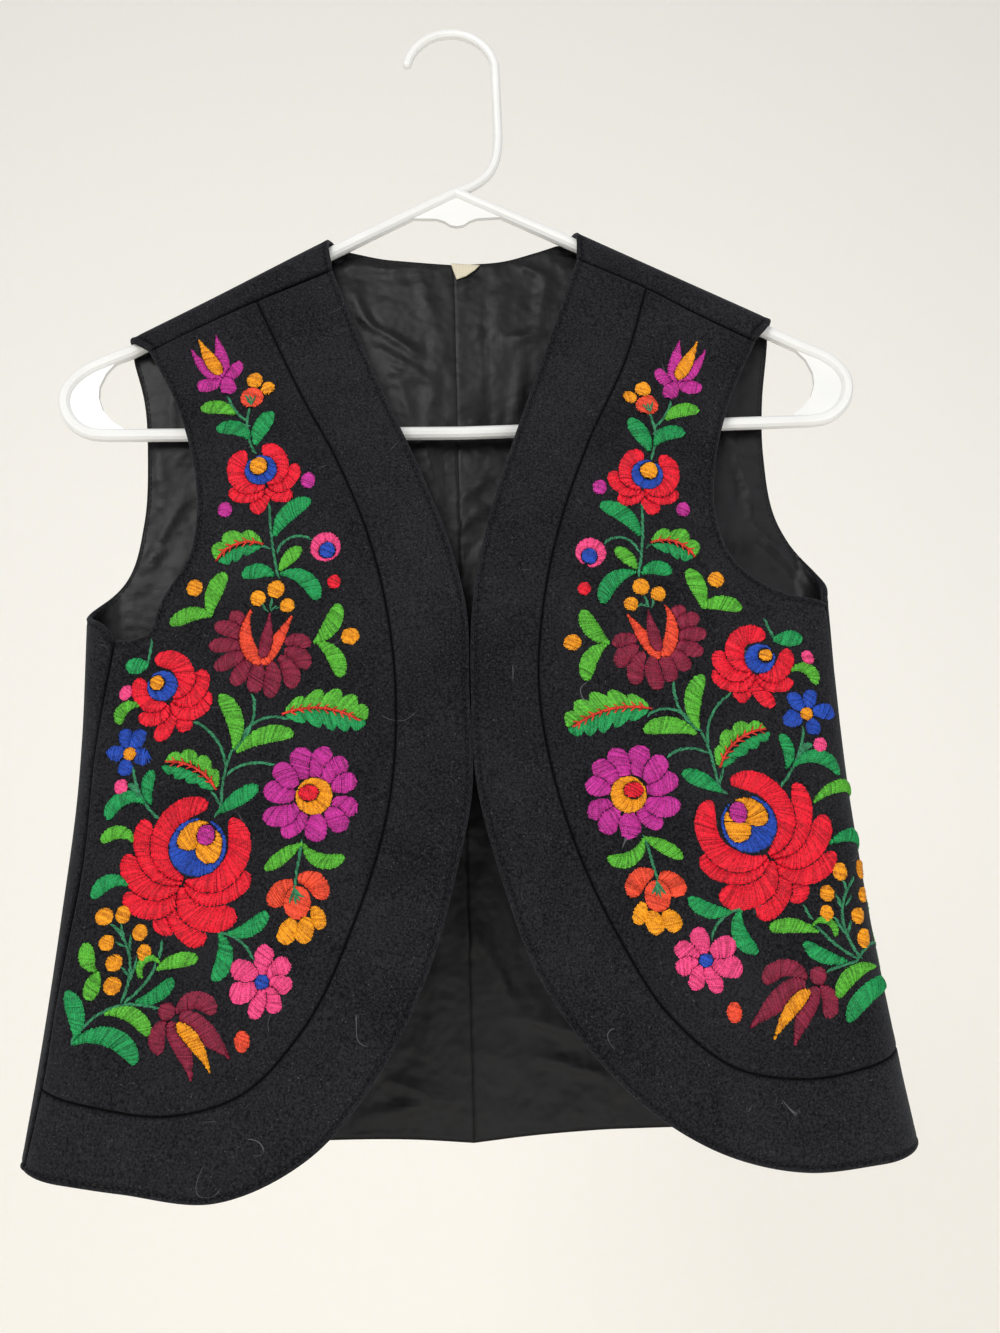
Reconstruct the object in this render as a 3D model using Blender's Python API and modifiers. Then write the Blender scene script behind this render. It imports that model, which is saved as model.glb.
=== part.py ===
"""A black felt folk vest with open fronts, hanging on a white plastic hanger.

All sizes are in millimetres and are turned into metres when a mesh is made. The
frame has X to the wearer's left, Y towards the wall and Z up, with the origin
where the hanger's hook rests.

Each cloth panel is drawn flat as an outline in its own cut coordinates: the
girth, measured round the body from the middle of the front or of the back, and
the height v. place() then wraps that outline on the form of the hanging
garment. Its two skins lie half a wall to each side of the form, along the form's
own normal, so that the edges of two panels at a seam stay parallel.
"""

import bmesh
import bpy
import numpy as np
from mathutils.geometry import delaunay_2d_cdt

MM = 0.001
FELT = 2.4
LINING = 1.0
SEAM_GAP = 0.3
LINING_INSET = 1.3
LINING_GAP = 0.6
LINING_DEPTH = FELT / 2 + LINING_GAP + LINING / 2
TUBE = 3.4
HOOK_TUBE = 2.6
WEB = 2.4
TUBE_GAP = 0.35
# How much longer a width across the sloping arms is when it is taken upright.
UPRIGHT = 1.133

# The form of the hanging garment at each height z: half width, radius of the
# rounded sides, middle depth, and how far the front and back bow outwards.
FORM = {
    "z": (-120, -180, -250, -330, -400, -430, -470, -500, -527, -554, -585, -610),
    "width": (184.8, 184.8, 184.8, 184.3, 183.8, 184.6, 187.2, 189.8, 192.6, 195.6, 199.4, 202.6),
    "radius": (6.5, 7.5, 11.5, 13.0, 15.0, 16.0, 18.0, 19.5, 20.8, 22.2, 23.8, 25.0),
    "middle": (0.0, 0.0, -1.5, -3.0, -3.0, -3.2, -3.6, -3.9, -4.1, -4.4, -4.8, -5.0),
    "front_bow": (0.0, 0.0, 3.0, 6.0, 6.0, 6.0, 6.0, 5.5, 5.0, 4.6, 4.2, 4.0),
    "back_bow": (0.0, 1.0, 2.0, 2.0, 2.0, 2.0, 2.0, 2.0, 2.0, 2.0, 2.0, 2.0),
}
# The fold over the hanger: its height along x, its radius, and the distance
# below it over which the garment reaches its full depth.
RIDGE = {"x": (-180, -65, 65, 180), "z": (-190.5, -128.6, -125.5, -186.3)}
FOLD = 6.5
FULL_DEPTH = 140.0

# Lines of the cut on each side: girth measured from the middle of the front, and height.
SHOULDER_SEAM = {
    "left": {"girth": (-64.6, -115.0, -159.2), "height": (-148.9, -171.4, -194.9)},
    "right": {"girth": (66.4, 104.8, 126.0, 158.8), "height": (-144.2, -163.4, -176.2, -194.3)},
}
FRONT_EDGE = {
    "left": {
        "girth": (-64.6, -41.4, -17, -4, 2.6, 3.2, 3, -3.6, -20, -41.3, -70, -109, -150, -196.5),
        "height": (
            -148.9, -212, -272, -309, -340, -380, -431, -461, -513, -552, -582.5, -598.6, -594, -586
        ),
    },
    "right": {
        "girth": (66.4, 44.9, 27.1, 12.9, 5.4, 3.8, 5.4, 15.1, 33.4, 54.6, 80.9, 110, 143, 177, 212),
        "height": (
            -144.2, -204, -255, -300, -340, -380, -424, -466, -516, -546, -571.5, -588, -595.8,
            -593.8, -589,
        ),
    },
}
BAND_SEAM = {
    "left": {
        "girth": (
            -104.2, -78.8, -60, -44.6, -34.7, -31.6, -36.1, -51.1, -74.5, -99.2, -129.2, -166,
            -189.3,
        ),
        "height": (
            -166.6, -224, -262, -302, -346, -387, -438, -486, -532, -556, -563.9, -559, -552.5
        ),
    },
    "right": {
        "girth": (
            102.6, 90.5, 65.2, 49.4, 39.7, 36.2, 40.5, 50.5, 67.5, 89.5, 116.4, 147.2, 186, 208
        ),
        "height": (
            -162.3, -200.5, -256, -299, -340, -380, -417, -455, -495, -531, -552.6, -558.3, -552.2,
            -547,
        ),
    },
}
FRONT_ARMHOLE = {
    "left": {
        "girth": (-159.2, -145.4, -135, -130, -132, -146.3, -151.5, -159.5, -167),
        "height": (-194.9, -222, -253, -289, -306, -333, -347.5, -350.5, -349.8),
    },
    "right": {
        "girth": (158.8, 142.2, 130.5, 128.3, 135.4, 157, 181),
        "height": (-194.3, -229, -268, -288, -316, -333.6, -339.2),
    },
}
SIDE_SEAM = {
    "left": {
        "girth": (-167, -173.6, -176, -182, -189.3, -196.5),
        "height": (-349.8, -407, -458, -497, -552.5, -586),
    },
    "right": {
        "girth": (181, 188.5, 192, 202, 208, 212),
        "height": (-339.2, -407, -455, -520, -547, -589),
    },
}
# The back's own lines: girth measured from the middle of the back.
BACK_ARMHOLE = {
    "left": {
        "girth": (-213, -193.5, -171, -163.9, -162.9, -165.8, -170.8),
        "height": (-344.6, -334.6, -312.5, -283, -250, -214, -196),
    },
    "right": {
        "girth": (199, 186, 167.3, 163, 164.6, 168.6),
        "height": (-333.5, -319.5, -288.8, -253, -220.3, -194.5),
    },
}
BACK_NECK = {
    "girth": (-57.5, -43, -16, 2, 28, 47, 56.6),
    "height": (-130.4, -133.2, -137, -138.6, -136.6, -131.2, -128.2),
}
BACK_HEM = {
    "girth": (-212, -110, -24, 0, 28, 120, 205),
    "height": (-586.6, -587.8, -589.8, -592, -589.6, -588, -589.2),
}
SHOULDER_END = {"left": -171.6, "right": 169.6}
LABEL = {
    "girth": (-1.6, -0.2, 1.4, 6.5, 11.5, 14.4),
    "height": (-139.4, -144.5, -149, -147.2, -143.8, -140.6),
}

# The hanger lies in the plane y = 0. Its right end is the left one turned over
# about its middle and raised a little, as it hangs.
HANGER_MIDDLE = 1.9
RIGHT_END_LIFT = 1.0
APEX = (2.2, -99.2)
ARM = (65, 171)
FRAME_END = {
    "x": (-182.5, -193, -200.3, -203.8, -204.3, -202.4, -197.9, -191, -181),
    "z": (-196, -201, -207.3, -213.4, -219, -226, -232, -236.3, -237.7),
}
END_WEB = {
    "x": (-172, -177.5, -183.2, -186.4, -186.6, -184.2, -179.4, -172),
    "z": (-192, -196.3, -203, -210.5, -217, -224, -230, -235.2),
}
BAR = {"x": (-110, 2, 110), "z": (-239.0, -239.9, -238.5)}
APEX_WEB = {
    "x": (2.2, -28, -9, -4.4, -1.2, 2.4, 6, 9.2, 13.8, 33),
    "z": (-99.2, -114.6, -115.2, -116.8, -119.2, -119.9, -119.2, -116.8, -115.2, -114.4),
}
HOOK_CENTRE = (1.0, -22.7)
HOOK_RADIUS = 25.3
HOOK_OPENS_AT = 167.0
HOOK_STEM = {
    "x": (26.2, 25.9, 24.3, 20.2, 13.4, 2.2),
    "z": (-50, -70.1, -79.3, -87.6, -93.6, -99.2),
}

COLUMNS = 13
FOLD_STEPS = 10
ROW = 15.0
FULL_ROWS = -300.0
UPPER_ROWS = 11


def table(values, at):
    """The values of a table at a coordinate, with a smooth curve between its rows."""
    x = np.array(values[0], float)
    y = np.array(values[1], float)
    if x[0] > x[-1]:
        x = x[::-1]
        y = y[::-1]
    slope = np.gradient(y, x)
    at = np.clip(at, x[0], x[-1])
    i = np.clip(np.searchsorted(x, at) - 1, 0, len(x) - 2)
    step = x[i + 1] - x[i]
    u = (at - x[i]) / step
    return (
        (1 + 2 * u) * (1 - u) ** 2 * y[i]
        + u * (1 - u) ** 2 * step * slope[i]
        + u * u * (3 - 2 * u) * y[i + 1]
        + u * u * (u - 1) * step * slope[i + 1]
    )


def form(name, z):
    return table((FORM["z"], FORM[name]), z)


def ridge(x):
    return np.interp(x, RIDGE["x"], RIDGE["z"])


def flat_and_radius(z):
    radius = form("radius", z)
    return form("width", z) - radius, radius


def other_girth(girth, z):
    """The same place on a side, measured from the middle of the other face."""
    flat, radius = flat_and_radius(z)
    return np.sign(girth) * (2 * flat + np.pi * radius - np.abs(girth))


def depth(girth, z, face):
    """Distance from the middle plane to the front (face -1) or back (face 1), inside the sides."""
    flat, radius = flat_and_radius(z)
    bow = form("front_bow" if face < 0 else "back_bow", z)
    share = np.clip(np.abs(girth) / flat, 0, 1)
    full = radius + face * form("middle", z) + bow * (1 - share**2) ** 2
    grown = np.clip((ridge(girth) - z) / FULL_DEPTH, 0, 1)
    return (full - FOLD) * grown * grown * (3 - 2 * grown) + FOLD


def place(points, face):
    """Cut coordinates to space: a flat face, then the rounded side, then the other face.

    Above the foot of the fold over the hanger, v runs on as the distance over it."""
    girth = points[:, 0]
    v = points[:, 1]
    foot = ridge(np.clip(girth, -180, 180)) - FOLD
    turn = np.clip((v - foot) / FOLD, 0, np.pi)
    z = np.where(v <= foot, v, foot + FOLD * np.sin(turn))
    z = np.where(v > foot + np.pi * FOLD, 2 * foot + np.pi * FOLD - v, z)
    flat, radius = flat_and_radius(z)
    side = np.sign(girth)
    around = np.clip((np.abs(girth) - flat) / radius, 0, np.pi)
    past = np.maximum(np.abs(girth) - flat - np.pi * radius, 0)
    x = np.where(np.abs(girth) <= flat, girth, side * (flat + radius * np.sin(around) - past))
    near = depth(girth, z, face)
    far = depth(x, z, -face)
    middle = form("middle", z)
    y = np.where(np.abs(girth) <= flat, face * near, middle + face * radius * np.cos(around))
    y = np.where(past > 0, -face * far, y)
    y = np.where(v > foot, face * FOLD * np.cos(turn), y)
    y = np.where(v > foot + np.pi * FOLD, -face * far, y)
    return np.stack([x, y, z], axis=1)


def place_deep(points, face, deep):
    """As place(), but on a surface this far inside the cloth's middle."""
    across = np.array([0.5, 0.0])
    up = np.array([0.0, 0.5])
    along = place(points + across, face) - place(points - across, face)
    rise = place(points + up, face) - place(points - up, face)
    normal = np.cross(rise, along) * face
    normal /= np.linalg.norm(normal, axis=1, keepdims=True)
    return place(points, face) - normal * deep


def rows(named):
    """A table's two columns as points."""
    return np.stack([np.array(column, float) for column in named.values()], axis=1)


def curve(points, step=7.0):
    """A smooth line through the points, cut in steps of about this length."""
    knots = np.array(points, float)
    chord = np.linalg.norm(np.diff(knots, axis=0), axis=1)
    along = np.concatenate([[0], np.cumsum(chord)])
    count = max(int(round(along[-1] / step)), 1)
    at = np.linspace(0, along[-1], count + 1)
    line = np.stack([table((along, knots[:, i]), at) for i in range(2)], axis=1)
    line[0] = knots[0]
    line[-1] = knots[-1]
    return line


def joined(*lines, least=0.6):
    """One closed outline from lines that meet end to end, without points nearer than least."""
    kept = []
    for point in np.concatenate(lines):
        if not kept or np.linalg.norm(point - kept[-1]) > least:
            kept.append(point)
    if np.linalg.norm(kept[0] - kept[-1]) <= least:
        kept.pop()
    return np.array(kept)


def subdivided(outline, longest):
    """The closed outline with its long edges cut into steps."""
    points = []
    for here, after in zip(outline, np.roll(outline, -1, axis=0)):
        count = max(int(np.ceil(np.linalg.norm(after - here) / longest)), 1)
        points += [here + (after - here) * i / count for i in range(count)]
    return np.array(points)


def area(outline):
    x, y = outline.T
    return 0.5 * np.sum(x * np.roll(y, -1) - y * np.roll(x, -1))


def inset(outline, amount):
    """The outline moved inwards by this amount."""
    if area(outline) < 0:
        outline = outline[::-1]
    ahead = np.roll(outline, -1, axis=0) - outline
    ahead /= np.linalg.norm(ahead, axis=1, keepdims=True)
    behind = np.roll(ahead, 1, axis=0)
    left = np.stack([-ahead[:, 1] - behind[:, 1], ahead[:, 0] + behind[:, 0]], axis=1)
    long = np.sum(left * left, axis=1, keepdims=True) / 2
    return outline + amount * left / np.maximum(long, 0.5)


def to_lattice(points):
    """Cut coordinates to the lattice that the mesh is built on, one step per cell."""
    girth = points[:, 0]
    v = points[:, 1]
    flat, radius = flat_and_radius(v)
    size = np.abs(girth)
    past = np.maximum(size - flat - np.pi * radius, 0)
    turned = np.clip((size - flat) / (np.pi * radius), 0, 1)
    column = np.minimum(size / flat, 1) * COLUMNS + turned * FOLD_STEPS + past / flat * COLUMNS
    foot = ridge(np.clip(girth, -180, 180)) - FOLD
    upper = (v - FULL_ROWS) / (foot - FULL_ROWS) * UPPER_ROWS
    over = UPPER_ROWS + (v - foot) / (np.pi * FOLD) * FOLD_STEPS
    beyond = UPPER_ROWS + FOLD_STEPS + (v - foot - np.pi * FOLD) / 4
    row = np.where(v < FULL_ROWS, (v - FULL_ROWS) / ROW, upper)
    row = np.where(v > foot, over, row)
    row = np.where(v > foot + np.pi * FOLD, beyond, row)
    return np.stack([np.sign(girth) * column, row], axis=1)


def from_lattice(cells):
    """The cut coordinates of lattice points. The half width changes slowly, so three rounds settle it."""
    column = np.abs(cells[:, 0])
    row = cells[:, 1]
    v = np.full(len(cells), FULL_ROWS)
    for _ in range(4):
        flat, radius = flat_and_radius(v)
        girth = np.minimum(column / COLUMNS, 1) * flat
        girth += np.clip((column - COLUMNS) / FOLD_STEPS, 0, 1) * np.pi * radius
        girth += np.maximum(column - COLUMNS - FOLD_STEPS, 0) / COLUMNS * flat
        girth *= np.sign(cells[:, 0])
        foot = ridge(np.clip(girth, -180, 180)) - FOLD
        v = np.where(row < 0, FULL_ROWS + row * ROW, FULL_ROWS + row / UPPER_ROWS * (foot - FULL_ROWS))
        over = foot + (row - UPPER_ROWS) / FOLD_STEPS * np.pi * FOLD
        v = np.where(row > UPPER_ROWS, over, v)
        beyond = foot + np.pi * FOLD + (row - UPPER_ROWS - FOLD_STEPS) * 4
        v = np.where(row > UPPER_ROWS + FOLD_STEPS, beyond, v)
    return np.stack([girth, v], axis=1)


def within(points, outline):
    """Which points lie inside the outline and a third of a cell or more from it."""
    a = outline[None]
    b = np.roll(outline, -1, axis=0)[None]
    p = points[:, None]
    rises = (a[..., 1] > p[..., 1]) != (b[..., 1] > p[..., 1])
    run = np.where(rises, b[..., 1] - a[..., 1], 1)
    cross = a[..., 0] + (p[..., 1] - a[..., 1]) * (b[..., 0] - a[..., 0]) / run
    inside = np.sum(rises & (p[..., 0] < cross), axis=1) % 2 == 1
    edge = b - a
    share = np.sum((p - a) * edge, axis=2) / np.maximum(np.sum(edge * edge, axis=2), 1e-9)
    foot = a + np.clip(share, 0, 1)[..., None] * edge
    near = np.linalg.norm(p - foot, axis=2).min(axis=1)
    return points[inside & (near > 0.33)]


def material(name, colour, roughness):
    made = bpy.data.materials.new(name)
    made.use_nodes = True
    made.diffuse_color = (*colour, 1)
    shader = made.node_tree.nodes["Principled BSDF"]
    shader.inputs["Base Color"].default_value = (*colour, 1)
    shader.inputs["Roughness"].default_value = roughness
    return made


def add_object(name, points, faces, look, collection):
    mesh = bpy.data.meshes.new(name)
    mesh.from_pydata((np.asarray(points) * MM).tolist(), [], faces)
    mesh.materials.append(look)
    made = bpy.data.objects.new(name, mesh)
    collection.objects.link(made)
    return made


def give_wall(made, thickness):
    wall = made.modifiers.new("wall", "SOLIDIFY")
    wall.thickness = thickness * MM
    wall.offset = 0
    wall.use_even_offset = True
    wall.use_rim = True


def add_panel(name, outline, face, look, collection, wall=FELT, deep=0.0):
    """A cloth panel from its outline in cut coordinates."""
    outline = inset(outline, SEAM_GAP / 2)
    cells = to_lattice(outline)
    low = np.floor(cells.min(axis=0))
    high = np.ceil(cells.max(axis=0))
    grid = np.meshgrid(np.arange(low[0], high[0] + 1), np.arange(low[1], high[1] + 1))
    lattice = within(np.stack([side.ravel() for side in grid], axis=1), cells)
    points = np.concatenate([cells, lattice])
    count = len(cells)
    edges = [(i, (i + 1) % count) for i in range(count)]
    result = delaunay_2d_cdt(points.tolist(), edges, [list(range(count))], 1, 1e-5)
    flat = from_lattice(np.array([tuple(p) for p in result[0]]))
    origin = np.array([ids[0] if ids else -1 for ids in result[3]])
    known = (origin >= 0) & (origin < count)
    flat[known] = outline[origin[known]]
    faces = [list(f) for f in result[2]]
    used = sorted({i for f in faces for i in f})
    index = {old: new for new, old in enumerate(used)}
    faces = [[index[i] for i in f] for f in faces]
    if face < 0:
        faces = [f[::-1] for f in faces]
    outer = place_deep(flat[used], face, deep - wall / 2)
    inner = place_deep(flat[used], face, deep + wall / 2)
    directed = {(f[i], f[(i + 1) % 3]) for f in faces for i in range(3)}
    rim = [(a, b) for a, b in directed if (b, a) not in directed]
    shift = len(used)
    solid = [f[::-1] for f in faces] + [[i + shift for i in f] for f in faces]
    solid += [[a, b, b + shift, a + shift] for a, b in rim]
    return add_object(name, np.concatenate([outer, inner]), solid, look, collection)


def with_point(line, point):
    """The line with its nearest point moved onto this one, and that point's place in it."""
    nearest = int(np.argmin(np.linalg.norm(line - point, axis=1)))
    line[nearest] = point
    return nearest


def front_lines(side):
    """The lines of one front, as curves that two panels share point for point."""
    band = curve(rows(BAND_SEAM[side]))
    shoulder = curve(rows(SHOULDER_SEAM[side]))
    split = with_point(shoulder, band[0])
    seam = curve(rows(SIDE_SEAM[side]))
    turn = with_point(seam, band[-1])
    return {
        "neck_shoulder": shoulder[: split + 1],
        "arm_shoulder": shoulder[split:],
        "shoulder": shoulder,
        "armhole": curve(rows(FRONT_ARMHOLE[side])),
        "side_high": seam[: turn + 1],
        "side_low": seam[turn:],
        "side": seam,
        "band": band,
        "edge": curve(rows(FRONT_EDGE[side])),
    }


def over_shoulder(line):
    """A line on the front near the shoulder in the back's cut coordinates, over the fold."""
    foot = ridge(line[:, 0]) - FOLD
    return np.stack([line[:, 0], 2 * foot + np.pi * FOLD - line[:, 1]], axis=1)


def back_half(side, lines):
    """One half of the back's outline, from the hem's middle round to the neck's middle."""
    sign = -1 if side == "left" else 1
    seam = lines["side"][::-1]
    seam = np.stack([other_girth(seam[:, 0], seam[:, 1]), seam[:, 1]], axis=1)
    hem = half_of(BACK_HEM, sign)
    hem = curve(np.concatenate([hem, seam[:1]]))
    armhole = curve(np.concatenate([seam[-1:], rows(BACK_ARMHOLE[side])]))
    end = SHOULDER_END[side]
    foot = ridge(end) - FOLD
    shoulder = over_shoulder(lines["shoulder"])[::-1]
    outer = curve((armhole[-1], (end, foot), (end, foot + np.pi / 2 * FOLD), shoulder[0]), 2.5)
    neck = half_of(BACK_NECK, sign)[::-1]
    rise = (sign * 65.2, ridge(sign * 65.2) - FOLD + np.pi / 2 * FOLD)
    inner = curve((shoulder[-1], rise, (sign * 62.6, ridge(sign * 62.6) - FOLD + 5), neck[0]), 2.5)
    return joined(hem, seam, armhole, outer, shoulder, inner, curve(neck))


def half_of(named, sign):
    """The rows of a table on one side, outwards from the middle."""
    points = rows(named)
    middle = (0, float(table(points.T, 0.0)))
    points = points[points[:, 0] * sign > 5]
    return np.concatenate([[middle], points[np.argsort(np.abs(points[:, 0]))]])


def lining_outline(half, sign):
    """The back's half held inside the side's middle, the centre seam and the foot of the fold."""
    points = half.copy()
    flat, radius = flat_and_radius(points[:, 1])
    limit = flat + radius * np.pi / 2
    points[:, 0] = sign * np.minimum(np.abs(points[:, 0]), limit)
    foot = ridge(points[:, 0]) - FOLD - 1
    points[:, 1] = np.minimum(points[:, 1], foot)
    outline = inset(joined(points, least=2.5), LINING_INSET - SEAM_GAP / 2)
    middle = np.abs(outline[:, 0]) < 3
    outline[middle, 0] = 0
    return subdivided(outline, ROW)


def add_tube(name, line, radius, sides, closed, look, collection):
    """A round tube along (x, z) points, as a mesh made from a bevelled curve."""
    data = bpy.data.curves.new(name, "CURVE")
    data.dimensions = "3D"
    data.bevel_depth = radius * MM
    data.bevel_resolution = sides
    data.use_fill_caps = True
    spline = data.splines.new("POLY")
    spline.points.add(len(line) - 1)
    for point, (x, z) in zip(spline.points, line):
        point.co = (x * MM, 0, z * MM, 1)
    spline.use_cyclic_u = closed
    guide = bpy.data.objects.new(name + "_line", data)
    collection.objects.link(guide)
    graph = bpy.context.evaluated_depsgraph_get()
    mesh = bpy.data.meshes.new_from_object(guide.evaluated_get(graph))
    bpy.data.objects.remove(guide)
    mesh.name = name
    mesh.materials.clear()
    mesh.materials.append(look)
    made = bpy.data.objects.new(name, mesh)
    collection.objects.link(made)
    weld = made.modifiers.new("ends", "WELD")
    weld.merge_threshold = 0.00001
    return made


def add_plate(name, outline, thickness, look, collection):
    """A flat plate in the plane y = 0."""
    points = [(x, 0, z) for x, z in outline]
    made = add_object(name, points, [list(range(len(points)))], look, collection)
    give_wall(made, thickness)
    return made


def thinned(line, bend):
    """The line without the points where it runs almost straight."""
    keep = [line[0]]
    for here, after in zip(line[1:-1], line[2:]):
        first = here - keep[-1]
        second = after - here
        turn = abs(first[0] * second[1] - first[1] * second[0])
        if turn > bend * np.linalg.norm(first) * np.linalg.norm(second):
            keep.append(here)
    keep.append(line[-1])
    return np.array(keep)


def turned_over(points):
    """A left end's points as the right end's, in the other order."""
    return points[::-1] * (-1, 1) + (2 * HANGER_MIDDLE, RIGHT_END_LIFT)


def add_hanger(look, collection, helpers):
    drop = (FELT / 2 + TUBE) * UPRIGHT + TUBE_GAP
    arm = {x: np.array([x, float(ridge(x)) - drop]) for x in (-ARM[1], -ARM[0], *ARM)}
    end = rows(FRAME_END)
    left = curve(np.concatenate([[arm[-ARM[1]]], end]), 4)
    right = curve(np.concatenate([turned_over(end), [arm[ARM[1]]]]), 4)
    ring = np.concatenate(
        [[APEX], [arm[-ARM[0]]], left, rows(BAR), right, [arm[ARM[0]]], [APEX]]
    )
    frame = add_tube("hanger", thinned(ring, 0.012)[:-1], TUBE, 4, True, look, collection)

    turn = np.radians(np.arange(HOOK_OPENS_AT, -1, -12))
    arc = np.stack([np.cos(turn), np.sin(turn)], axis=1) * HOOK_RADIUS + HOOK_CENTRE
    stem = np.concatenate([arc, curve(rows(HOOK_STEM), 4)])
    add_tube("hook", stem, HOOK_TUBE, 4, False, look, helpers)
    add_ball("tip", arc[0], HOOK_TUBE, look, helpers)
    add_plate("apex_web", rows(APEX_WEB), WEB, look, helpers)
    web = np.concatenate([rows(END_WEB), end[::-1]])
    add_plate("left_web", web, WEB, look, helpers)
    add_plate("right_web", turned_over(web), WEB, look, helpers)
    for helper in helpers.objects:
        join = frame.modifiers.new(helper.name, "BOOLEAN")
        join.operation = "UNION"
        join.solver = "EXACT"
        join.object = helper
    return frame


def add_ball(name, centre, radius, look, collection):
    mesh = bpy.data.meshes.new(name)
    made = bpy.data.objects.new(name, mesh)
    ball = bmesh.new()
    bmesh.ops.create_uvsphere(ball, u_segments=10, v_segments=6, radius=radius * MM)
    bmesh.ops.translate(ball, verts=ball.verts, vec=(centre[0] * MM, 0, centre[1] * MM))
    ball.to_mesh(mesh)
    ball.free()
    mesh.materials.append(look)
    collection.objects.link(made)
    return made


def main():
    for old in list(bpy.data.objects):
        bpy.data.objects.remove(old)
    vest = bpy.data.collections.new("Embroidered vest on hanger")
    helpers = bpy.data.collections.new("Cutters")
    bpy.context.scene.collection.children.link(vest)
    bpy.context.scene.collection.children.link(helpers)
    helpers.hide_render = True

    halves = {}
    for side in ("left", "right"):
        lines = front_lines(side)
        felt = material("black felt front " + side, (0.012, 0.012, 0.014), 0.95)
        border = material("black felt border " + side, (0.010, 0.010, 0.012), 0.95)
        panel = joined(
            lines["band"],
            lines["side_high"][::-1],
            lines["armhole"][::-1],
            lines["arm_shoulder"][::-1],
        )
        add_panel("front_" + side, panel, -1, felt, vest)
        band = joined(
            lines["edge"],
            lines["side_low"][::-1],
            lines["band"][::-1],
            lines["neck_shoulder"][::-1],
        )
        add_panel("band_" + side, band, -1, border, vest)
        halves[side] = back_half(side, lines)

    felt = material("black felt back", (0.012, 0.012, 0.014), 0.95)
    whole = joined(halves["right"], halves["left"][::-1])
    add_panel("back_shell", whole, 1, felt, vest)
    for side, sign in (("left", -1), ("right", 1)):
        satin = material("black lining " + side, (0.02, 0.02, 0.022), 0.4)
        half = lining_outline(halves[side], sign)
        add_panel("lining_" + side, half, 1, satin, vest, LINING, LINING_DEPTH)

    cream = material("cream label", (0.8, 0.74, 0.6), 0.9)
    deep = LINING_DEPTH + LINING / 2 + SEAM_GAP + LINING / 2
    add_panel("label", rows(LABEL), 1, cream, vest, LINING, deep)

    plastic = material("white plastic", (0.86, 0.87, 0.87), 0.3)
    add_hanger(plastic, vest, helpers)
    for helper in helpers.objects:
        helper.hide_render = True
        helper.display_type = "WIRE"


main()
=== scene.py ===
"""The looks of the embroidered felt vest on its hanger.

All sizes are in millimetres and are turned into metres when a mesh is made. The
tables and the functions up to place_deep() are the same as in the part's source,
so every panel, stitch and wrinkle sits on the form that its solid has.
"""

import bpy
import numpy as np
from mathutils import Matrix, Vector
from mathutils.geometry import delaunay_2d_cdt


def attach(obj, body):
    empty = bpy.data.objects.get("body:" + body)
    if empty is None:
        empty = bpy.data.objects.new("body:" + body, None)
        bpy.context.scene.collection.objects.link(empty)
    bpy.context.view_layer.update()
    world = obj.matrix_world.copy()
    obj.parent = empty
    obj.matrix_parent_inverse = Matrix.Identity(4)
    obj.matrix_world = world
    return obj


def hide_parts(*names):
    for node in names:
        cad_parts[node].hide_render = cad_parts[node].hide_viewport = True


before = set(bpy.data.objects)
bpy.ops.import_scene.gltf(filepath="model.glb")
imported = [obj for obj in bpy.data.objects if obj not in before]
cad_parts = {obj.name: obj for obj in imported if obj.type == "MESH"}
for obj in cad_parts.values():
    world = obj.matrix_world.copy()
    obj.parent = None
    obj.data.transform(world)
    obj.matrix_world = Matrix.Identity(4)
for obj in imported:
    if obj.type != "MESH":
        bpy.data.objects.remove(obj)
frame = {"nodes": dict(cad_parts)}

MM = 0.001
FELT = 2.4
LINING = 1.0
SEAM_GAP = 0.3
LINING_INSET = 1.3
LINING_GAP = 0.6
LINING_DEPTH = FELT / 2 + LINING_GAP + LINING / 2
LINING_DRAWN = 0.7
LABEL_DRAWN = 0.8
COLUMNS = 42
FOLD_STEPS = 14
ROW = 4.4
FULL_ROWS = -300.0
UPPER_ROWS = 36
RINGS = (0.12, 0.35, 0.8, 1.4, 2.0, 2.5, 3.1, 4.2)
TOPSTITCH = 2.5

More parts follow.
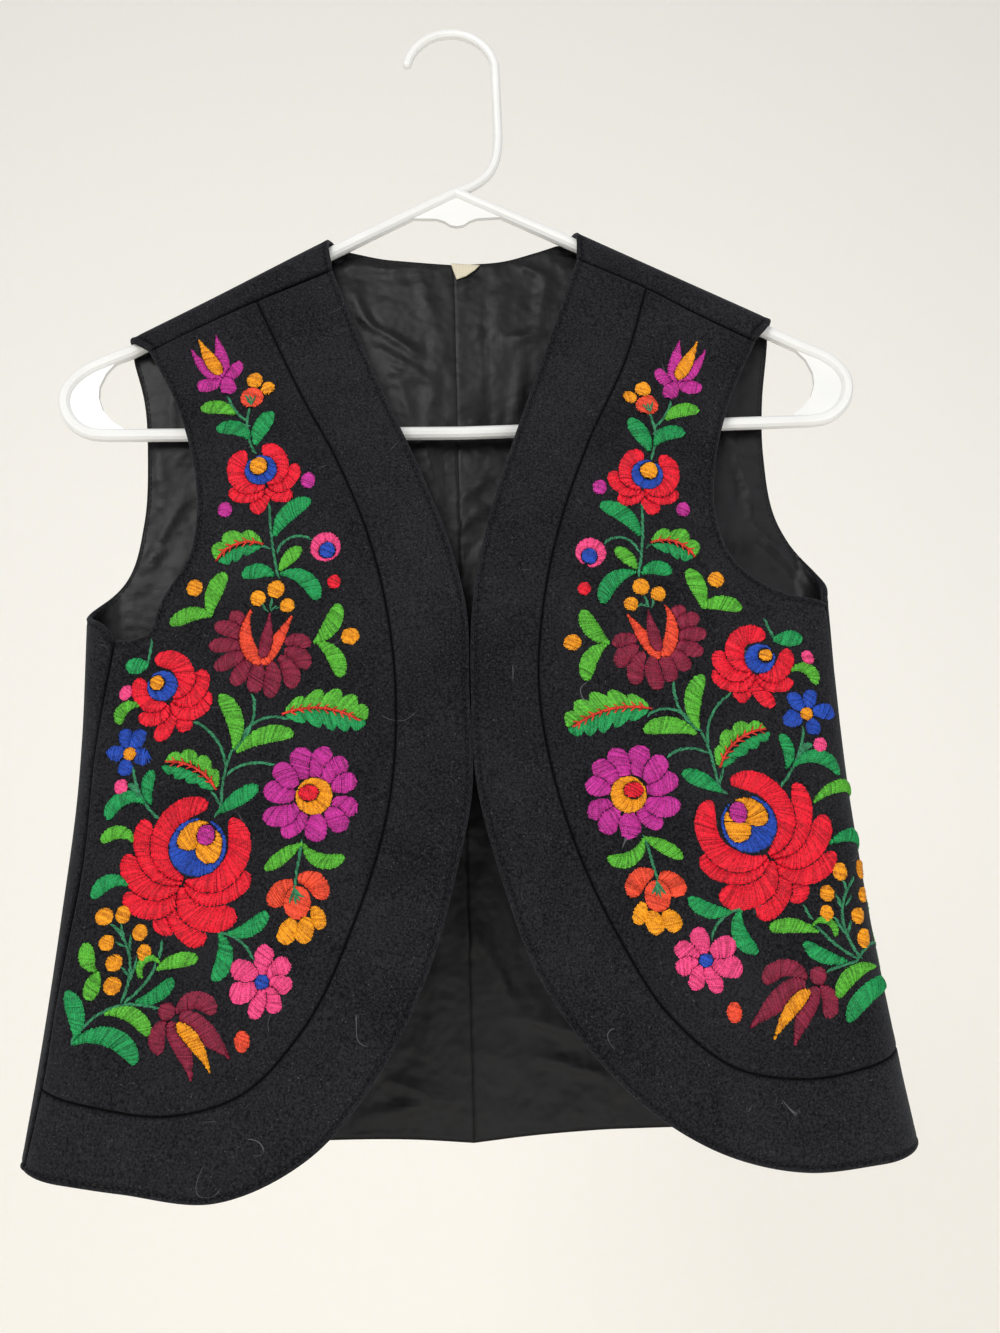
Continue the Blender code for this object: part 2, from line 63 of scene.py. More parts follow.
# Creases: middle as girth and height, direction in degrees, half length, half width, and rise.
# The lining hangs a little slacker than its rows say: wider folds, and lower ones.
SLACK_WIDTH = 1.2
SLACK_RISE = 0.75
LINING_CREASES = (
    (-38.0, -141.0, 179, 27.0, 1.8, 1.6),
    (-34.0, -146.5, 176, 30.0, 2.0, -0.7),
    (-33.0, -183.0, 144, 20.0, 2.2, 2.3),
    (-28.0, -197.0, 148, 16.0, 2.2, 2.0),
    (-25.0, -204.0, 160, 12.0, 1.8, 1.7),
    (-50.0, -166.0, 113, 12.0, 2.4, 2.2),
    (-44.0, -170.0, 122, 13.0, 2.0, -0.8),
    (-28.0, -216.0, 107, 15.0, 2.4, 1.5),
    (-16.0, -158.0, 104, 13.0, 3.6, 1.3),
    (-14.0, -222.0, 84, 22.0, 3.4, 1.4),
    (-17.0, -192.0, 76, 9.0, 2.2, -0.8),
    (41.0, -143.0, 147, 12.0, 2.2, 1.9),
    (47.0, -164.0, 80, 18.0, 2.6, 1.7),
    (37.0, -183.0, 12, 9.0, 2.6, 1.9),
    (33.0, -212.0, 82, 22.0, 2.8, 1.5),
    (17.0, -187.0, 89, 46.0, 1.6, -0.8),
    (9.0, -151.0, 29, 6.0, 1.6, 1.3),
    (26.0, -160.0, 62, 16.0, 4.0, 1.1),
    (8.0, -267.0, 37, 10.0, 2.0, 1.5),
    (7.0, -283.0, 42, 9.0, 1.8, 1.4),
    (-13.0, -262.0, 97, 22.0, 3.2, 1.3),
    (12.0, -300.0, 60, 16.0, 2.6, 1.5),
    (14.0, -342.0, 96, 36.0, 3.6, 1.4),
    (-12.0, -380.0, 84, 40.0, 4.4, 1.5),
    (22.0, -430.0, 74, 34.0, 4.0, 1.6),
    (-22.0, -466.0, 101, 38.0, 4.6, 1.8),
    (10.0, -508.0, 118, 22.0, 3.2, 1.5),
    (-28.0, -574.0, 11, 24.0, 2.6, 2.0),
    (-27.0, -566.0, 160, 15.0, 2.2, 1.8),
    (-52.0, -560.0, 28, 16.0, 2.6, 1.5),
    (46.0, -541.0, 165, 22.0, 2.8, 1.9),
    (48.0, -558.0, 164, 17.0, 2.2, 1.8),
    (60.0, -520.0, 150, 18.0, 3.4, 1.4),
    (151.0, -262.0, 105, 24.0, 2.8, 1.8),
    (143.0, -236.0, 82, 18.0, 2.4, 1.3),
    (169.0, -308.0, 128, 18.0, 2.4, 1.8),
    (160.0, -290.0, 112, 13.0, 2.0, -0.8),
    (-159.0, -246.0, 103, 22.0, 2.8, 1.7),
    (-150.0, -222.0, 88, 15.0, 2.2, 1.2),
    (-165.0, -306.0, 35, 15.0, 2.4, 1.6),
    (-150.0, -284.0, 62, 16.0, 2.4, 1.4),
    (118.0, -390.0, 98, 52.0, 5.0, 1.7),
    (-110.0, -430.0, 84, 60.0, 5.4, 1.6),
    (-92.0, -320.0, 108, 40.0, 4.2, 1.4),
    (88.0, -318.0, 72, 36.0, 4.4, 1.5),
    (140.0, -520.0, 112, 30.0, 4.4, 1.4),
)
FELT_CREASES = {
    -1: (
        (-150.0, -196.0, 58, 30.0, 9.0, 0.7),
        (-168.0, -330.0, 104, 42.0, 11.0, -0.8),
        (168.0, -322.0, 71, 46.0, 12.0, 0.8),
        (-152.0, -505.0, 33, 44.0, 15.0, 1.0),
        (160.0, -530.0, 131, 50.0, 14.0, -0.9),
        (60.0, -205.0, 113, 58.0, 10.0, 0.7),
        (-62.0, -236.0, 66, 52.0, 10.0, 0.7),
        (24.0, -420.0, 96, 60.0, 12.0, -0.6),
        (-76.0, -560.0, 12, 46.0, 11.0, 0.8),
        (84.0, -556.0, 166, 40.0, 9.0, 0.7),
    ),
    1: (
        (-58.0, -182.0, 69, 62.0, 13.0, 1.1),
        (72.0, -236.0, 106, 78.0, 14.0, -0.9),
        (-128.0, -302.0, 79, 70.0, 12.0, 0.9),
        (22.0, -398.0, 93, 108.0, 16.0, 1.1),
        (124.0, -436.0, 98, 84.0, 14.0, -0.8),
        (-92.0, -508.0, 84, 62.0, 13.0, 1.0),
        (58.0, -552.0, 101, 44.0, 11.0, 0.8),
        (154.0, -256.0, 74, 44.0, 10.0, 0.8),
    ),
}

# Stitches: distance between two, how far they lean, padding under them, the least width
# of a strand, and the bare cloth left round a shape that lies over others.
PITCH = 0.52
SLANT = 24.0
PADDING = 0.42
STRAND = 0.62
BARE = 0.32
# Shapes: width at the base, where full width starts and ends, how round the end is, and
# how slowly the base widens.
PROFILE = {
    "petal": (0.34, 0.5, 0.68, 0.5, 1.0),
    "leaf": (0.16, 0.56, 0.64, 0.52, 1.0),
    "flame": (0.08, 0.66, 0.7, 0.5, 1.35),
    "crescent": (0.14, 0.4, 0.74, 0.5, 1.0),
}
FULLER = {"petal": 1.06, "leaf": 1.04, "flame": 1.12, "crescent": 1.16}
COLOURS = {
    "red": "d60a26", "green": "108a48", "leaf": "4fa42a", "stem": "2c7a52", "magenta": "b02486",
    "wine": "7c1432", "orange": "f58e06", "flame": "ea4426", "blue": "1240a2", "pink": "ee4078",
    "vein": "c8301e",
}
THREADS = list(COLOURS)

# The photograph's eye: its place, its axes right, up and ahead, its focal length and middle
# in pixels, and how stiff the plate is that carries the left front's places to the right.
EYE = np.array([4.8, -491.0, -459.9])
EYE_ACROSS = np.array([[0.99932, -0.02244, -0.02939], [0.02458, -0.19086, 0.98131]])
EYE_AHEAD = np.array([0.02763, 0.98136, 0.19018])
EYE_FOCAL = 1000.0
EYE_MIDDLE = (500.0, 666.5)
STIFF = 1500.0
# Where each shape lies is read in an enlarged view of the photograph. A view is
# its left and top edge in the photograph, in pixels, and its enlargement.
VIEWS = {
    "shoulder": (180, 330, 5.806),
    "fan": (160, 520, 7.841),
    "edge": (240, 590, 8.25),
    "side": (90, 640, 7.8375),
    "leaves": (150, 690, 7.84),
    "daisy": (240, 740, 7.129),
    "rose": (110, 780, 8.7125),
    "berries": (60, 820, 6.03),
    "pink": (180, 900, 7.838),
    "tulip": (135, 980, 13.07),
    "whole": (0, 0, 1.0),
}
# The left front: kind, thread, start, middle, end and full width of each shape. A ring has
# its hole's middle and width, then its rim's middle and width. Later shapes lie on top.
MOTIFS = {
    "tulip": ("shoulder", (
        ("flame", "magenta", (65, 108), (122, 200), (240, 295), 55),
        ("flame", "magenta", (210, 32), (238, 150), (262, 280), 66),
        ("petal", "magenta", (262, 292), (300, 265), (338, 185), 62),
        ("petal", "magenta", (235, 300), (170, 322), (103, 322), 72),
        ("petal", "magenta", (248, 285), (275, 320), (285, 372), 80),
        ("flame", "orange", (112, 60), (165, 155), (240, 262), 64),
    )),
    "rose small": ("shoulder", (
        ("petal", "red", (500, 935), (470, 1000), (425, 1062), 84),
        ("petal", "red", (500, 920), (400, 960), (290, 935), 84),
        ("petal", "red", (505, 925), (590, 958), (655, 950), 84),
        ("crescent", "red", (518, 915), (620, 885), (660, 785), 76),
        ("crescent", "red", (495, 908), (335, 850), (385, 712), 88),
        ("crescent", "red", (515, 900), (575, 780), (478, 690), 92),
        ("ring", "blue", (457, 793), 108, (470, 815), 172),
        ("dot", "orange", (457, 745), (457, 793), (457, 842), 92),
    )),
    "rose medium": ("side", (
        ("petal", "red", (685, 570), (730, 640), (775, 705), 128),
        ("petal", "red", (640, 540), (605, 670), (515, 780), 112),
        ("petal", "red", (620, 510), (520, 610), (388, 600), 108),
        ("crescent", "red", (635, 500), (790, 560), (905, 400), 118),
        ("crescent", "red", (650, 475), (800, 440), (855, 235), 118),
        ("crescent", "red", (600, 500), (440, 480), (405, 300), 112),
        ("crescent", "red", (650, 455), (720, 215), (510, 175), 128),
        ("ring", "blue", (525, 335), 130, (568, 360), 232),
        ("dot", "orange", (525, 282), (525, 335), (525, 390), 104),
    )),
    "rose large": ("rose", (
        ("petal", "red", (560, 1080), (500, 1230), (450, 1350), 215),
        ("crescent", "red", (600, 960), (630, 1230), (840, 1400), 185),
        ("crescent", "red", (615, 955), (400, 1130), (140, 985), 140),
        ("crescent", "red", (625, 935), (760, 1160), (1100, 1150), 205),
        ("crescent", "red", (605, 930), (320, 930), (160, 650), 165),
        ("crescent", "red", (655, 905), (960, 985), (1200, 800), 175),
        ("crescent", "red", (635, 895), (335, 680), (320, 345), 155),
        ("crescent", "red", (660, 880), (1085, 730), (1050, 350), 170),
        ("crescent", "red", (645, 870), (465, 470), (860, 225), 165),
        ("ring", "blue", (805, 535), 170, (763, 588), 500),
        ("petal", "orange", (905, 455), (768, 462), (655, 615), 198),
        ("petal", "orange", (870, 425), (870, 560), (815, 715), 205),
        ("dot", "magenta", (840, 394), (838, 480), (834, 568), 152),
    )),
    "fan": ("fan", (
        ("petal", "wine", (690, 870), (630, 790), (550, 735), 100),
        ("petal", "wine", (650, 935), (560, 860), (428, 842), 112),
        ("petal", "wine", (655, 1005), (520, 980), (385, 995), 108),
        ("petal", "wine", (700, 1060), (560, 1095), (435, 1170), 112),
        ("petal", "wine", (725, 1090), (650, 1180), (575, 1295), 118),
        ("petal", "wine", (780, 1110), (755, 1240), (738, 1355), 122),
        ("petal", "wine", (865, 1110), (885, 1250), (848, 1388), 122),
        ("petal", "wine", (930, 1080), (1025, 1180), (1015, 1318), 124),
        ("petal", "wine", (975, 1035), (1080, 1050), (1130, 1170), 122),
        ("petal", "wine", (985, 975), (1080, 940), (1165, 995), 96),
        ("flame", "flame", (725, 692), (672, 915), (790, 1128), 96),
        ("flame", "flame", (1042, 742), (930, 930), (812, 1135), 92),
        ("flame", "wine", (862, 735), (840, 900), (802, 1080), 84),
    )),
    "daisy": ("daisy", (
        ("petal", "magenta", (455, 285), (440, 170), (432, 55), 150),
        ("petal", "magenta", (525, 280), (575, 170), (598, 50), 140),
        ("petal", "magenta", (595, 300), (670, 220), (748, 130), 132),
        ("petal", "magenta", (655, 345), (740, 310), (822, 262), 126),
        ("petal", "magenta", (668, 420), (750, 470), (842, 470), 132),
        ("petal", "magenta", (620, 490), (690, 570), (745, 650), 132),
        ("petal", "magenta", (535, 530), (545, 620), (522, 722), 146),
        ("petal", "magenta", (470, 505), (405, 600), (298, 672), 112),
        ("petal", "magenta", (410, 460), (310, 540), (175, 520), 138),
        ("petal", "magenta", (400, 400), (290, 380), (178, 338), 142),
        ("petal", "magenta", (405, 335), (330, 255), (258, 178), 134),
        ("ring", "orange", (490, 378), 130, (530, 402), 262),
        ("dot", "red", (490, 322), (490, 378), (490, 434), 140),
    )),
    "blue flower": ("side", (
        ("petal", "blue", (308, 850), (285, 780), (278, 700), 100),
        ("petal", "blue", (325, 850), (375, 780), (395, 700), 104),
        ("petal", "blue", (275, 895), (210, 890), (150, 925), 118),
        ("petal", "blue", (345, 915), (400, 915), (462, 880), 128),
        ("petal", "blue", (295, 935), (280, 1000), (278, 1065), 104),
        ("dot", "orange", (315, 845), (315, 893), (315, 942), 96),
    )),
    "pink flower": ("pink", (
        ("petal", "pink", (655, 590), (655, 480), (690, 355), 140),
        ("petal", "pink", (695, 605), (770, 545), (850, 465), 138),
        ("petal", "pink", (705, 650), (790, 660), (870, 700), 128),
        ("petal", "pink", (680, 690), (725, 780), (740, 888), 122),
        ("petal", "pink", (655, 700), (615, 800), (578, 932), 118),
        ("petal", "pink", (600, 670), (500, 720), (390, 740), 162),
        ("petal", "pink", (600, 612), (510, 560), (400, 540), 152),
        ("dot", "blue", (645, 585), (645, 642), (645, 700), 112),
    )),
    "pink drop": ("whole", (
        ("ring", "pink", (327.3, 550.6), 17.5, (325.5, 546.7), 29.5),
        ("dot", "blue", (327.3, 543), (327.3, 550.6), (327.3, 558.2), 14.5),
    )),
    "lantern": ("daisy", (
        ("petal", "flame", (385, 1020), (300, 1080), (240, 1195), 142),
        ("petal", "flame", (415, 1000), (530, 1010), (580, 1140), 128),
        ("dot", "flame", (412, 1045), (412, 1165), (412, 1280), 190),
        ("petal", "orange", (380, 1275), (345, 1360), (305, 1452), 124),
        ("petal", "orange", (475, 1258), (465, 1350), (430, 1445), 122),
        ("petal", "orange", (525, 1185), (560, 1270), (588, 1345), 96),
        ("line", "stem", (398, 1060), (380, 1110), (362, 1150), 20),
        ("line", "stem", (400, 1060), (402, 1110), (402, 1165), 20),
        ("line", "stem", (402, 1060), (425, 1100), (452, 1120), 20),
        ("line", "stem", (400, 1070), (415, 1120), (425, 1145), 20),
    )),
    "wine tulip": ("tulip", (
        ("dot", "wine", (410, 300), (420, 410), (440, 525), 220),
        ("petal", "wine", (420, 560), (285, 740), (350, 955), 205),
        ("crescent", "wine", (555, 440), (800, 265), (1020, 455), 190),
        ("flame", "wine", (735, 1335), (640, 960), (440, 560), 220),
        ("flame", "wine", (1240, 1035), (960, 740), (590, 455), 260),
        ("flame", "orange", (980, 1222), (820, 890), (545, 580), 165),
    )),
    "bud": ("shoulder", (
        ("dot", "orange", (487, 322), (512, 342), (540, 362), 76),
        ("dot", "orange", (438, 256), (436, 298), (434, 340), 84),
        ("dot", "flame", (420, 342), (420, 398), (425, 452), 122),
        ("line", "stem", (410, 440), (400, 415), (388, 392), 12),
        ("line", "stem", (414, 438), (418, 412), (415, 395), 12),
        ("line", "stem", (416, 440), (430, 420), (442, 402), 12),
    )),
}
SPRIGS = (
    ("shoulder", "leaf", "leaf", (320, 495), (240, 452), (125, 468), 76),
    ("shoulder", "leaf", "green", (400, 640), (315, 568), (216, 588), 80),
    ("shoulder", "leaf", "green", (438, 672), (462, 590), (535, 478), 88),
    ("shoulder", "line", "stem", (400, 562), (375, 552), (350, 548), 30),
    ("shoulder", "stem", "stem", (282, 392), (322, 470), (392, 530), 22),
    ("shoulder", "stem", "stem", (408, 450), (392, 520), (435, 715), 26),
    ("shoulder", "dot", "magenta", (745, 835), (745, 878), (745, 922), 76),
    ("shoulder", "dot", "magenta", (265, 1003), (262, 1045), (262, 1088), 76),
    ("shoulder", "leaf", "green", (550, 1200), (625, 1070), (762, 990), 92),
    ("shoulder", "stem", "stem", (520, 1012), (530, 1180), (572, 1440), 24),
    ("shoulder", "stem", "stem", (565, 1292), (640, 1208), (762, 1218), 20),
    ("fan", "serrated", "leaf", (800, 200), (620, 190), (455, 310), -138),
    ("fan", "serrated", "green", (800, 205), (640, 205), (460, 315), 120),
    ("fan", "vein", "vein", (800, 190), (620, 185), (450, 310), 16),
    ("fan", "stem", "stem", (800, 205), (825, 212), (850, 228), 14),
    ("fan", "leaf", "leaf", (940, 400), (1010, 300), (1110, 218), 98),
    ("fan", "leaf", "green", (895, 442), (795, 398), (652, 448), 108),
    ("fan", "leaf", "green", (948, 425), (1150, 470), (1225, 632), 118),
    ("fan", "leaf", "leaf", (395, 748), (415, 590), (515, 415), 125),
    ("fan", "leaf", "leaf", (410, 752), (260, 735), (85, 825), 112),
    ("fan", "dot", "orange", (270, 470), (270, 532), (272, 595), 120),
    ("fan", "dot", "orange", (768, 555), (768, 612), (768, 672), 114),
    ("fan", "dot", "orange", (910, 480), (910, 545), (910, 610), 130),
    ("fan", "dot", "orange", (998, 618), (998, 672), (998, 725), 108),
    ("fan", "line", "stem", (812, 662), (820, 690), (835, 712), 20),
    ("fan", "line", "stem", (880, 622), (870, 660), (862, 705), 22),
    ("fan", "line", "stem", (935, 690), (900, 690), (872, 712), 18),
    ("fan", "stem", "stem", (725, 1372), (742, 1430), (735, 1500), 26),
    ("whole", "dot", "red", (334, 575.5), (334, 582), (334, 588.5), 12.5),
    ("edge", "leaf", "leaf", (610, 435), (735, 320), (805, 115), 132),
    ("edge", "leaf", "leaf", (640, 440), (780, 540), (825, 722), 128),
    ("edge", "dot", "orange", (915, 315), (910, 385), (905, 450), 142),
    ("edge", "serrated", "leaf", (375, 1020), (650, 985), (1030, 1075), 200),
    ("edge", "serrated", "green", (375, 1025), (650, 990), (1035, 1085), -178),
    ("edge", "vein", "vein", (360, 1022), (650, 975), (985, 1075), 18),
    ("edge", "stem", "stem", (390, 1068), (250, 1050), (20, 1210), 26),
    ("leaves", "stem", "stem", (805, 38), (800, 260), (640, 480), 28),
    ("leaves", "stem", "stem", (640, 480), (580, 680), (560, 880), 28),
    ("leaves", "stem", "stem", (560, 880), (545, 940), (508, 985), 24),
    ("leaves", "leaf", "leaf", (655, 462), (670, 250), (540, 45), 128),
    ("leaves", "leaf", "leaf", (682, 492), (880, 360), (1128, 350), 128),
    ("leaves", "stem", "stem", (350, 250), (510, 375), (592, 600), 26),
    ("leaves", "stem", "stem", (960, 590), (790, 575), (610, 655), 26),
    ("leaves", "leaf", "green", (535, 965), (690, 850), (850, 755), 118),
    ("leaves", "stem", "stem", (488, 800), (520, 850), (545, 900), 26),
    ("side", "serrated", "leaf", (985, 1165), (850, 1000), (600, 962), -120),
    ("side", "serrated", "green", (985, 1170), (820, 1040), (570, 985), 108),
    ("side", "vein", "vein", (985, 1165), (850, 1020), (600, 955), 34),
    ("side", "stem", "stem", (485, 0), (470, 90), (445, 190), 40),
    ("side", "leaf", "green", (460, 195), (380, 200), (280, 218), 120),
    ("side", "dot", "pink", (300, 352), (280, 412), (258, 472), 90),
    ("side", "leaf", "leaf", (388, 520), (275, 530), (245, 662), 88),
    ("side", "stem", "stem", (340, 1000), (385, 1190), (535, 1400), 26),
    ("side", "dot", "pink", (245, 1095), (245, 1150), (242, 1208), 104),
    ("side", "leaf", "stem", (378, 1218), (350, 1160), (300, 1140), 50),
    ("side", "leaf", "green", (485, 1290), (450, 1150), (500, 1022), 88),
    ("side", "leaf", "green", (430, 1285), (270, 1240), (155, 1410), 108),
    ("berries", "leaf", "leaf", (442, 132), (350, 75), (258, 140), 76),
    ("berries", "leaf", "green", (408, 395), (290, 375), (208, 478), 84),
    ("berries", "dot", "orange", (267, 533), (267, 583), (265, 635), 108),
    ("berries", "dot", "orange", (382, 518), (382, 570), (384, 622), 90),
    ("berries", "dot", "orange", (490, 630), (485, 678), (480, 728), 90),
    ("berries", "dot", "orange", (284, 695), (282, 742), (280, 788), 94),
    ("berries", "dot", "orange", (514, 750), (512, 798), (510, 848), 82),
    ("berries", "dot", "orange", (330, 812), (330, 862), (330, 912), 104),
    ("berries", "dot", "orange", (320, 945), (320, 1000), (320, 1055), 108),
    ("berries", "stem", "stem", (315, 630), (405, 760), (425, 940), 24),
    ("berries", "stem", "stem", (425, 940), (405, 1020), (368, 1100), 24),
    ("berries", "line", "stem", (375, 632), (372, 660), (378, 690), 16),
    ("berries", "line", "stem", (432, 700), (426, 740), (422, 775), 16),
    ("berries", "line", "stem", (470, 840), (450, 900), (430, 950), 18),
    ("berries", "line", "stem", (348, 735), (365, 752), (390, 768), 16),
    ("berries", "line", "stem", (380, 888), (398, 915), (418, 940), 16),
    ("berries", "stem", "stem", (622, 732), (615, 775), (602, 825), 22),
    ("berries", "leaf", "leaf", (590, 905), (700, 850), (835, 840), 84),
    ("berries", "leaf", "leaf", (605, 865), (540, 840), (500, 950), 44),
    ("berries", "stem", "stem", (585, 870), (520, 980), (395, 1095), 24),
    ("berries", "leaf", "green", (458, 1095), (580, 1060), (680, 955), 84),
    ("berries", "stem", "stem", (70, 1345), (210, 1190), (400, 1115), 28),
    ("berries", "stem", "stem", (400, 1115), (500, 1118), (592, 1138), 24),
    ("berries", "leaf", "leaf", (222, 915), (165, 840), (172, 742), 92),
    ("berries", "leaf", "leaf", (238, 912), (200, 1000), (180, 1088), 96),
    ("berries", "leaf", "green", (92, 1320), (98, 1160), (45, 1040), 102),
    ("berries", "leaf", "green", (80, 1352), (300, 1310), (452, 1475), 112),
    ("berries", "leaf", "leaf", (275, 1172), (440, 1180), (530, 1305), 88),
    ("daisy", "stem", "stem", (447, 722), (420, 860), (392, 1055), 26),
    ("daisy", "leaf", "leaf", (450, 735), (320, 820), (182, 930), 92),
    ("daisy", "leaf", "leaf", (458, 742), (570, 860), (745, 825), 100),
    ("pink", "leaf", "green", (380, 260), (570, 215), (680, 88), 118),
    ("pink", "leaf", "green", (310, 270), (355, 430), (255, 628), 128),
    ("pink", "stem", "stem", (312, 258), (440, 300), (572, 465), 26),
    ("pink", "dot", "flame", (487, 1028), (485, 1112), (483, 1195), 122),
)
# The same places on both fronts, in the photograph's pixels: left x and y, right x and y.
PAIRS = (
    (215, 365, 683, 368), (255, 380, 643, 391), (265, 392, 633, 397), (252, 398, 647, 406),
    (218, 410, 682, 411), (235, 431, 667, 438), (265, 425, 638, 431), (264, 478, 645, 482),
    (260, 468, 649, 472), (308, 481, 599, 487), (224, 510, 683, 510), (293, 517, 621, 518),
    (234, 545, 678, 542), (326, 547, 591, 553), (291, 559, 626, 558), (258, 573, 656, 570),
    (303, 590, 615, 592), (334, 582, 583, 590), (194, 588, 716, 578), (258, 599, 658, 593),
    (276, 590, 642, 587), (287, 606, 630, 604), (219, 590, 695, 590), (188, 616, 722, 604),
    (260, 650, 661, 645), (335, 622, 591, 626), (330, 660, 595, 662), (349, 636, 572, 642),
    (135, 665, 788, 640), (173, 697, 752, 668), (162, 686, 756, 660), (126, 692, 812, 655),
    (128, 714, 803, 677), (130, 753, 807, 713), (120, 787, 822, 746), (150, 790, 784, 752),
    (125, 808, 819, 765), (158, 818, 780, 785), (228, 725, 697, 700), (269, 738, 672, 732),
    (327, 713, 606, 714), (190, 775, 741, 750), (240, 797, 700, 778), (312, 795, 630, 793),
    (187, 870, 762, 848), (203, 848, 746, 825), (118, 837, 830, 795), (112, 890, 846, 842),
    (280, 858, 665, 847), (323, 860, 630, 858), (297, 905, 659, 900), (255, 923, 703, 905),
    (219, 960, 745, 935), (262, 982, 707, 960), (123, 914, 841, 872), (104, 916, 856, 869),
    (140, 932, 829, 893), (107, 943, 861, 895), (144, 952, 827, 914), (112, 963, 859, 915),
    (113, 986, 862, 937), (178, 964, 792, 927), (160, 990, 824, 952), (130, 1020, 857, 981),
    (105, 1048, 872, 1000), (190, 1035, 797, 1003), (242, 1042, 733, 1012),
)

# The form of the hanging garment at each height z: half width, radius of the
# rounded sides, middle depth, and how far the front and back bow outwards.
FORM = {
    "z": (-120, -180, -250, -330, -400, -430, -470, -500, -527, -554, -585, -610),
    "width": (184.8, 184.8, 184.8, 184.3, 183.8, 184.6, 187.2, 189.8, 192.6, 195.6, 199.4, 202.6),
    "radius": (6.5, 7.5, 11.5, 13.0, 15.0, 16.0, 18.0, 19.5, 20.8, 22.2, 23.8, 25.0),
    "middle": (0.0, 0.0, -1.5, -3.0, -3.0, -3.2, -3.6, -3.9, -4.1, -4.4, -4.8, -5.0),
    "front_bow": (0.0, 0.0, 3.0, 6.0, 6.0, 6.0, 6.0, 5.5, 5.0, 4.6, 4.2, 4.0),
    "back_bow": (0.0, 1.0, 2.0, 2.0, 2.0, 2.0, 2.0, 2.0, 2.0, 2.0, 2.0, 2.0),
}
# The fold over the hanger: its height along x, its radius, and the distance
# below it over which the garment reaches its full depth.
RIDGE = {"x": (-180, -65, 65, 180), "z": (-190.5, -128.6, -125.5, -186.3)}
FOLD = 6.5
FULL_DEPTH = 140.0

# Lines of the cut on each side: girth measured from the middle of the front, and height.
SHOULDER_SEAM = {
    "left": {"girth": (-64.6, -115.0, -159.2), "height": (-148.9, -171.4, -194.9)},
    "right": {"girth": (66.4, 104.8, 126.0, 158.8), "height": (-144.2, -163.4, -176.2, -194.3)},
}
FRONT_EDGE = {
    "left": {
        "girth": (-64.6, -41.4, -17, -4, 2.6, 3.2, 3, -3.6, -20, -41.3, -70, -109, -150, -196.5),
        "height": (
            -148.9, -212, -272, -309, -340, -380, -431, -461, -513, -552, -582.5, -598.6, -594, -586
        ),
    },
    "right": {
        "girth": (66.4, 44.9, 27.1, 12.9, 5.4, 3.8, 5.4, 15.1, 33.4, 54.6, 80.9, 110, 143, 177, 212),
        "height": (
            -144.2, -204, -255, -300, -340, -380, -424, -466, -516, -546, -571.5, -588, -595.8,
            -593.8, -589,
        ),
    },
}
BAND_SEAM = {
    "left": {
        "girth": (
            -104.2, -78.8, -60, -44.6, -34.7, -31.6, -36.1, -51.1, -74.5, -99.2, -129.2, -166,
            -189.3,
        ),
        "height": (
            -166.6, -224, -262, -302, -346, -387, -438, -486, -532, -556, -563.9, -559, -552.5
        ),
    },
    "right": {
        "girth": (
            102.6, 90.5, 65.2, 49.4, 39.7, 36.2, 40.5, 50.5, 67.5, 89.5, 116.4, 147.2, 186, 208
        ),
        "height": (
            -162.3, -200.5, -256, -299, -340, -380, -417, -455, -495, -531, -552.6, -558.3, -552.2,
            -547,
        ),
    },
}
FRONT_ARMHOLE = {
    "left": {
        "girth": (-159.2, -145.4, -135, -130, -132, -146.3, -151.5, -159.5, -167),
        "height": (-194.9, -222, -253, -289, -306, -333, -347.5, -350.5, -349.8),
    },
    "right": {
        "girth": (158.8, 142.2, 130.5, 128.3, 135.4, 157, 181),
        "height": (-194.3, -229, -268, -288, -316, -333.6, -339.2),
    },
}
SIDE_SEAM = {
    "left": {
        "girth": (-167, -173.6, -176, -182, -189.3, -196.5),
        "height": (-349.8, -407, -458, -497, -552.5, -586),
    },
    "right": {
        "girth": (181, 188.5, 192, 202, 208, 212),
        "height": (-339.2, -407, -455, -520, -547, -589),
    },
}
# The back's own lines: girth measured from the middle of the back.
BACK_ARMHOLE = {
    "left": {
        "girth": (-213, -193.5, -171, -163.9, -162.9, -165.8, -170.8),
        "height": (-344.6, -334.6, -312.5, -283, -250, -214, -196),
    },
    "right": {
        "girth": (199, 186, 167.3, 163, 164.6, 168.6),
        "height": (-333.5, -319.5, -288.8, -253, -220.3, -194.5),
    },
}
BACK_NECK = {
    "girth": (-57.5, -43, -16, 2, 28, 47, 56.6),
    "height": (-130.4, -133.2, -137, -138.6, -136.6, -131.2, -128.2),
}
BACK_HEM = {
    "girth": (-212, -110, -24, 0, 28, 120, 205),
    "height": (-586.6, -587.8, -589.8, -592, -589.6, -588, -589.2),
}
SHOULDER_END = {"left": -171.6, "right": 169.6}
LABEL = {
    "girth": (-1.6, -0.2, 1.4, 6.5, 11.5, 14.4),
    "height": (-139.4, -144.5, -149, -147.2, -143.8, -140.6),
}


def table(values, at):
    """The values of a table at a coordinate, with a smooth curve between its rows."""
    x = np.array(values[0], float)
    y = np.array(values[1], float)
    if x[0] > x[-1]:
        x = x[::-1]
        y = y[::-1]
    slope = np.gradient(y, x)
    at = np.clip(at, x[0], x[-1])
    i = np.clip(np.searchsorted(x, at) - 1, 0, len(x) - 2)
    step = x[i + 1] - x[i]
    u = (at - x[i]) / step
    return (
        (1 + 2 * u) * (1 - u) ** 2 * y[i]
        + u * (1 - u) ** 2 * step * slope[i]
        + u * u * (3 - 2 * u) * y[i + 1]
        + u * u * (u - 1) * step * slope[i + 1]
    )


def form(name, z):
    return table((FORM["z"], FORM[name]), z)


def ridge(x):
    return np.interp(x, RIDGE["x"], RIDGE["z"])


def flat_and_radius(z):
    radius = form("radius", z)
    return form("width", z) - radius, radius


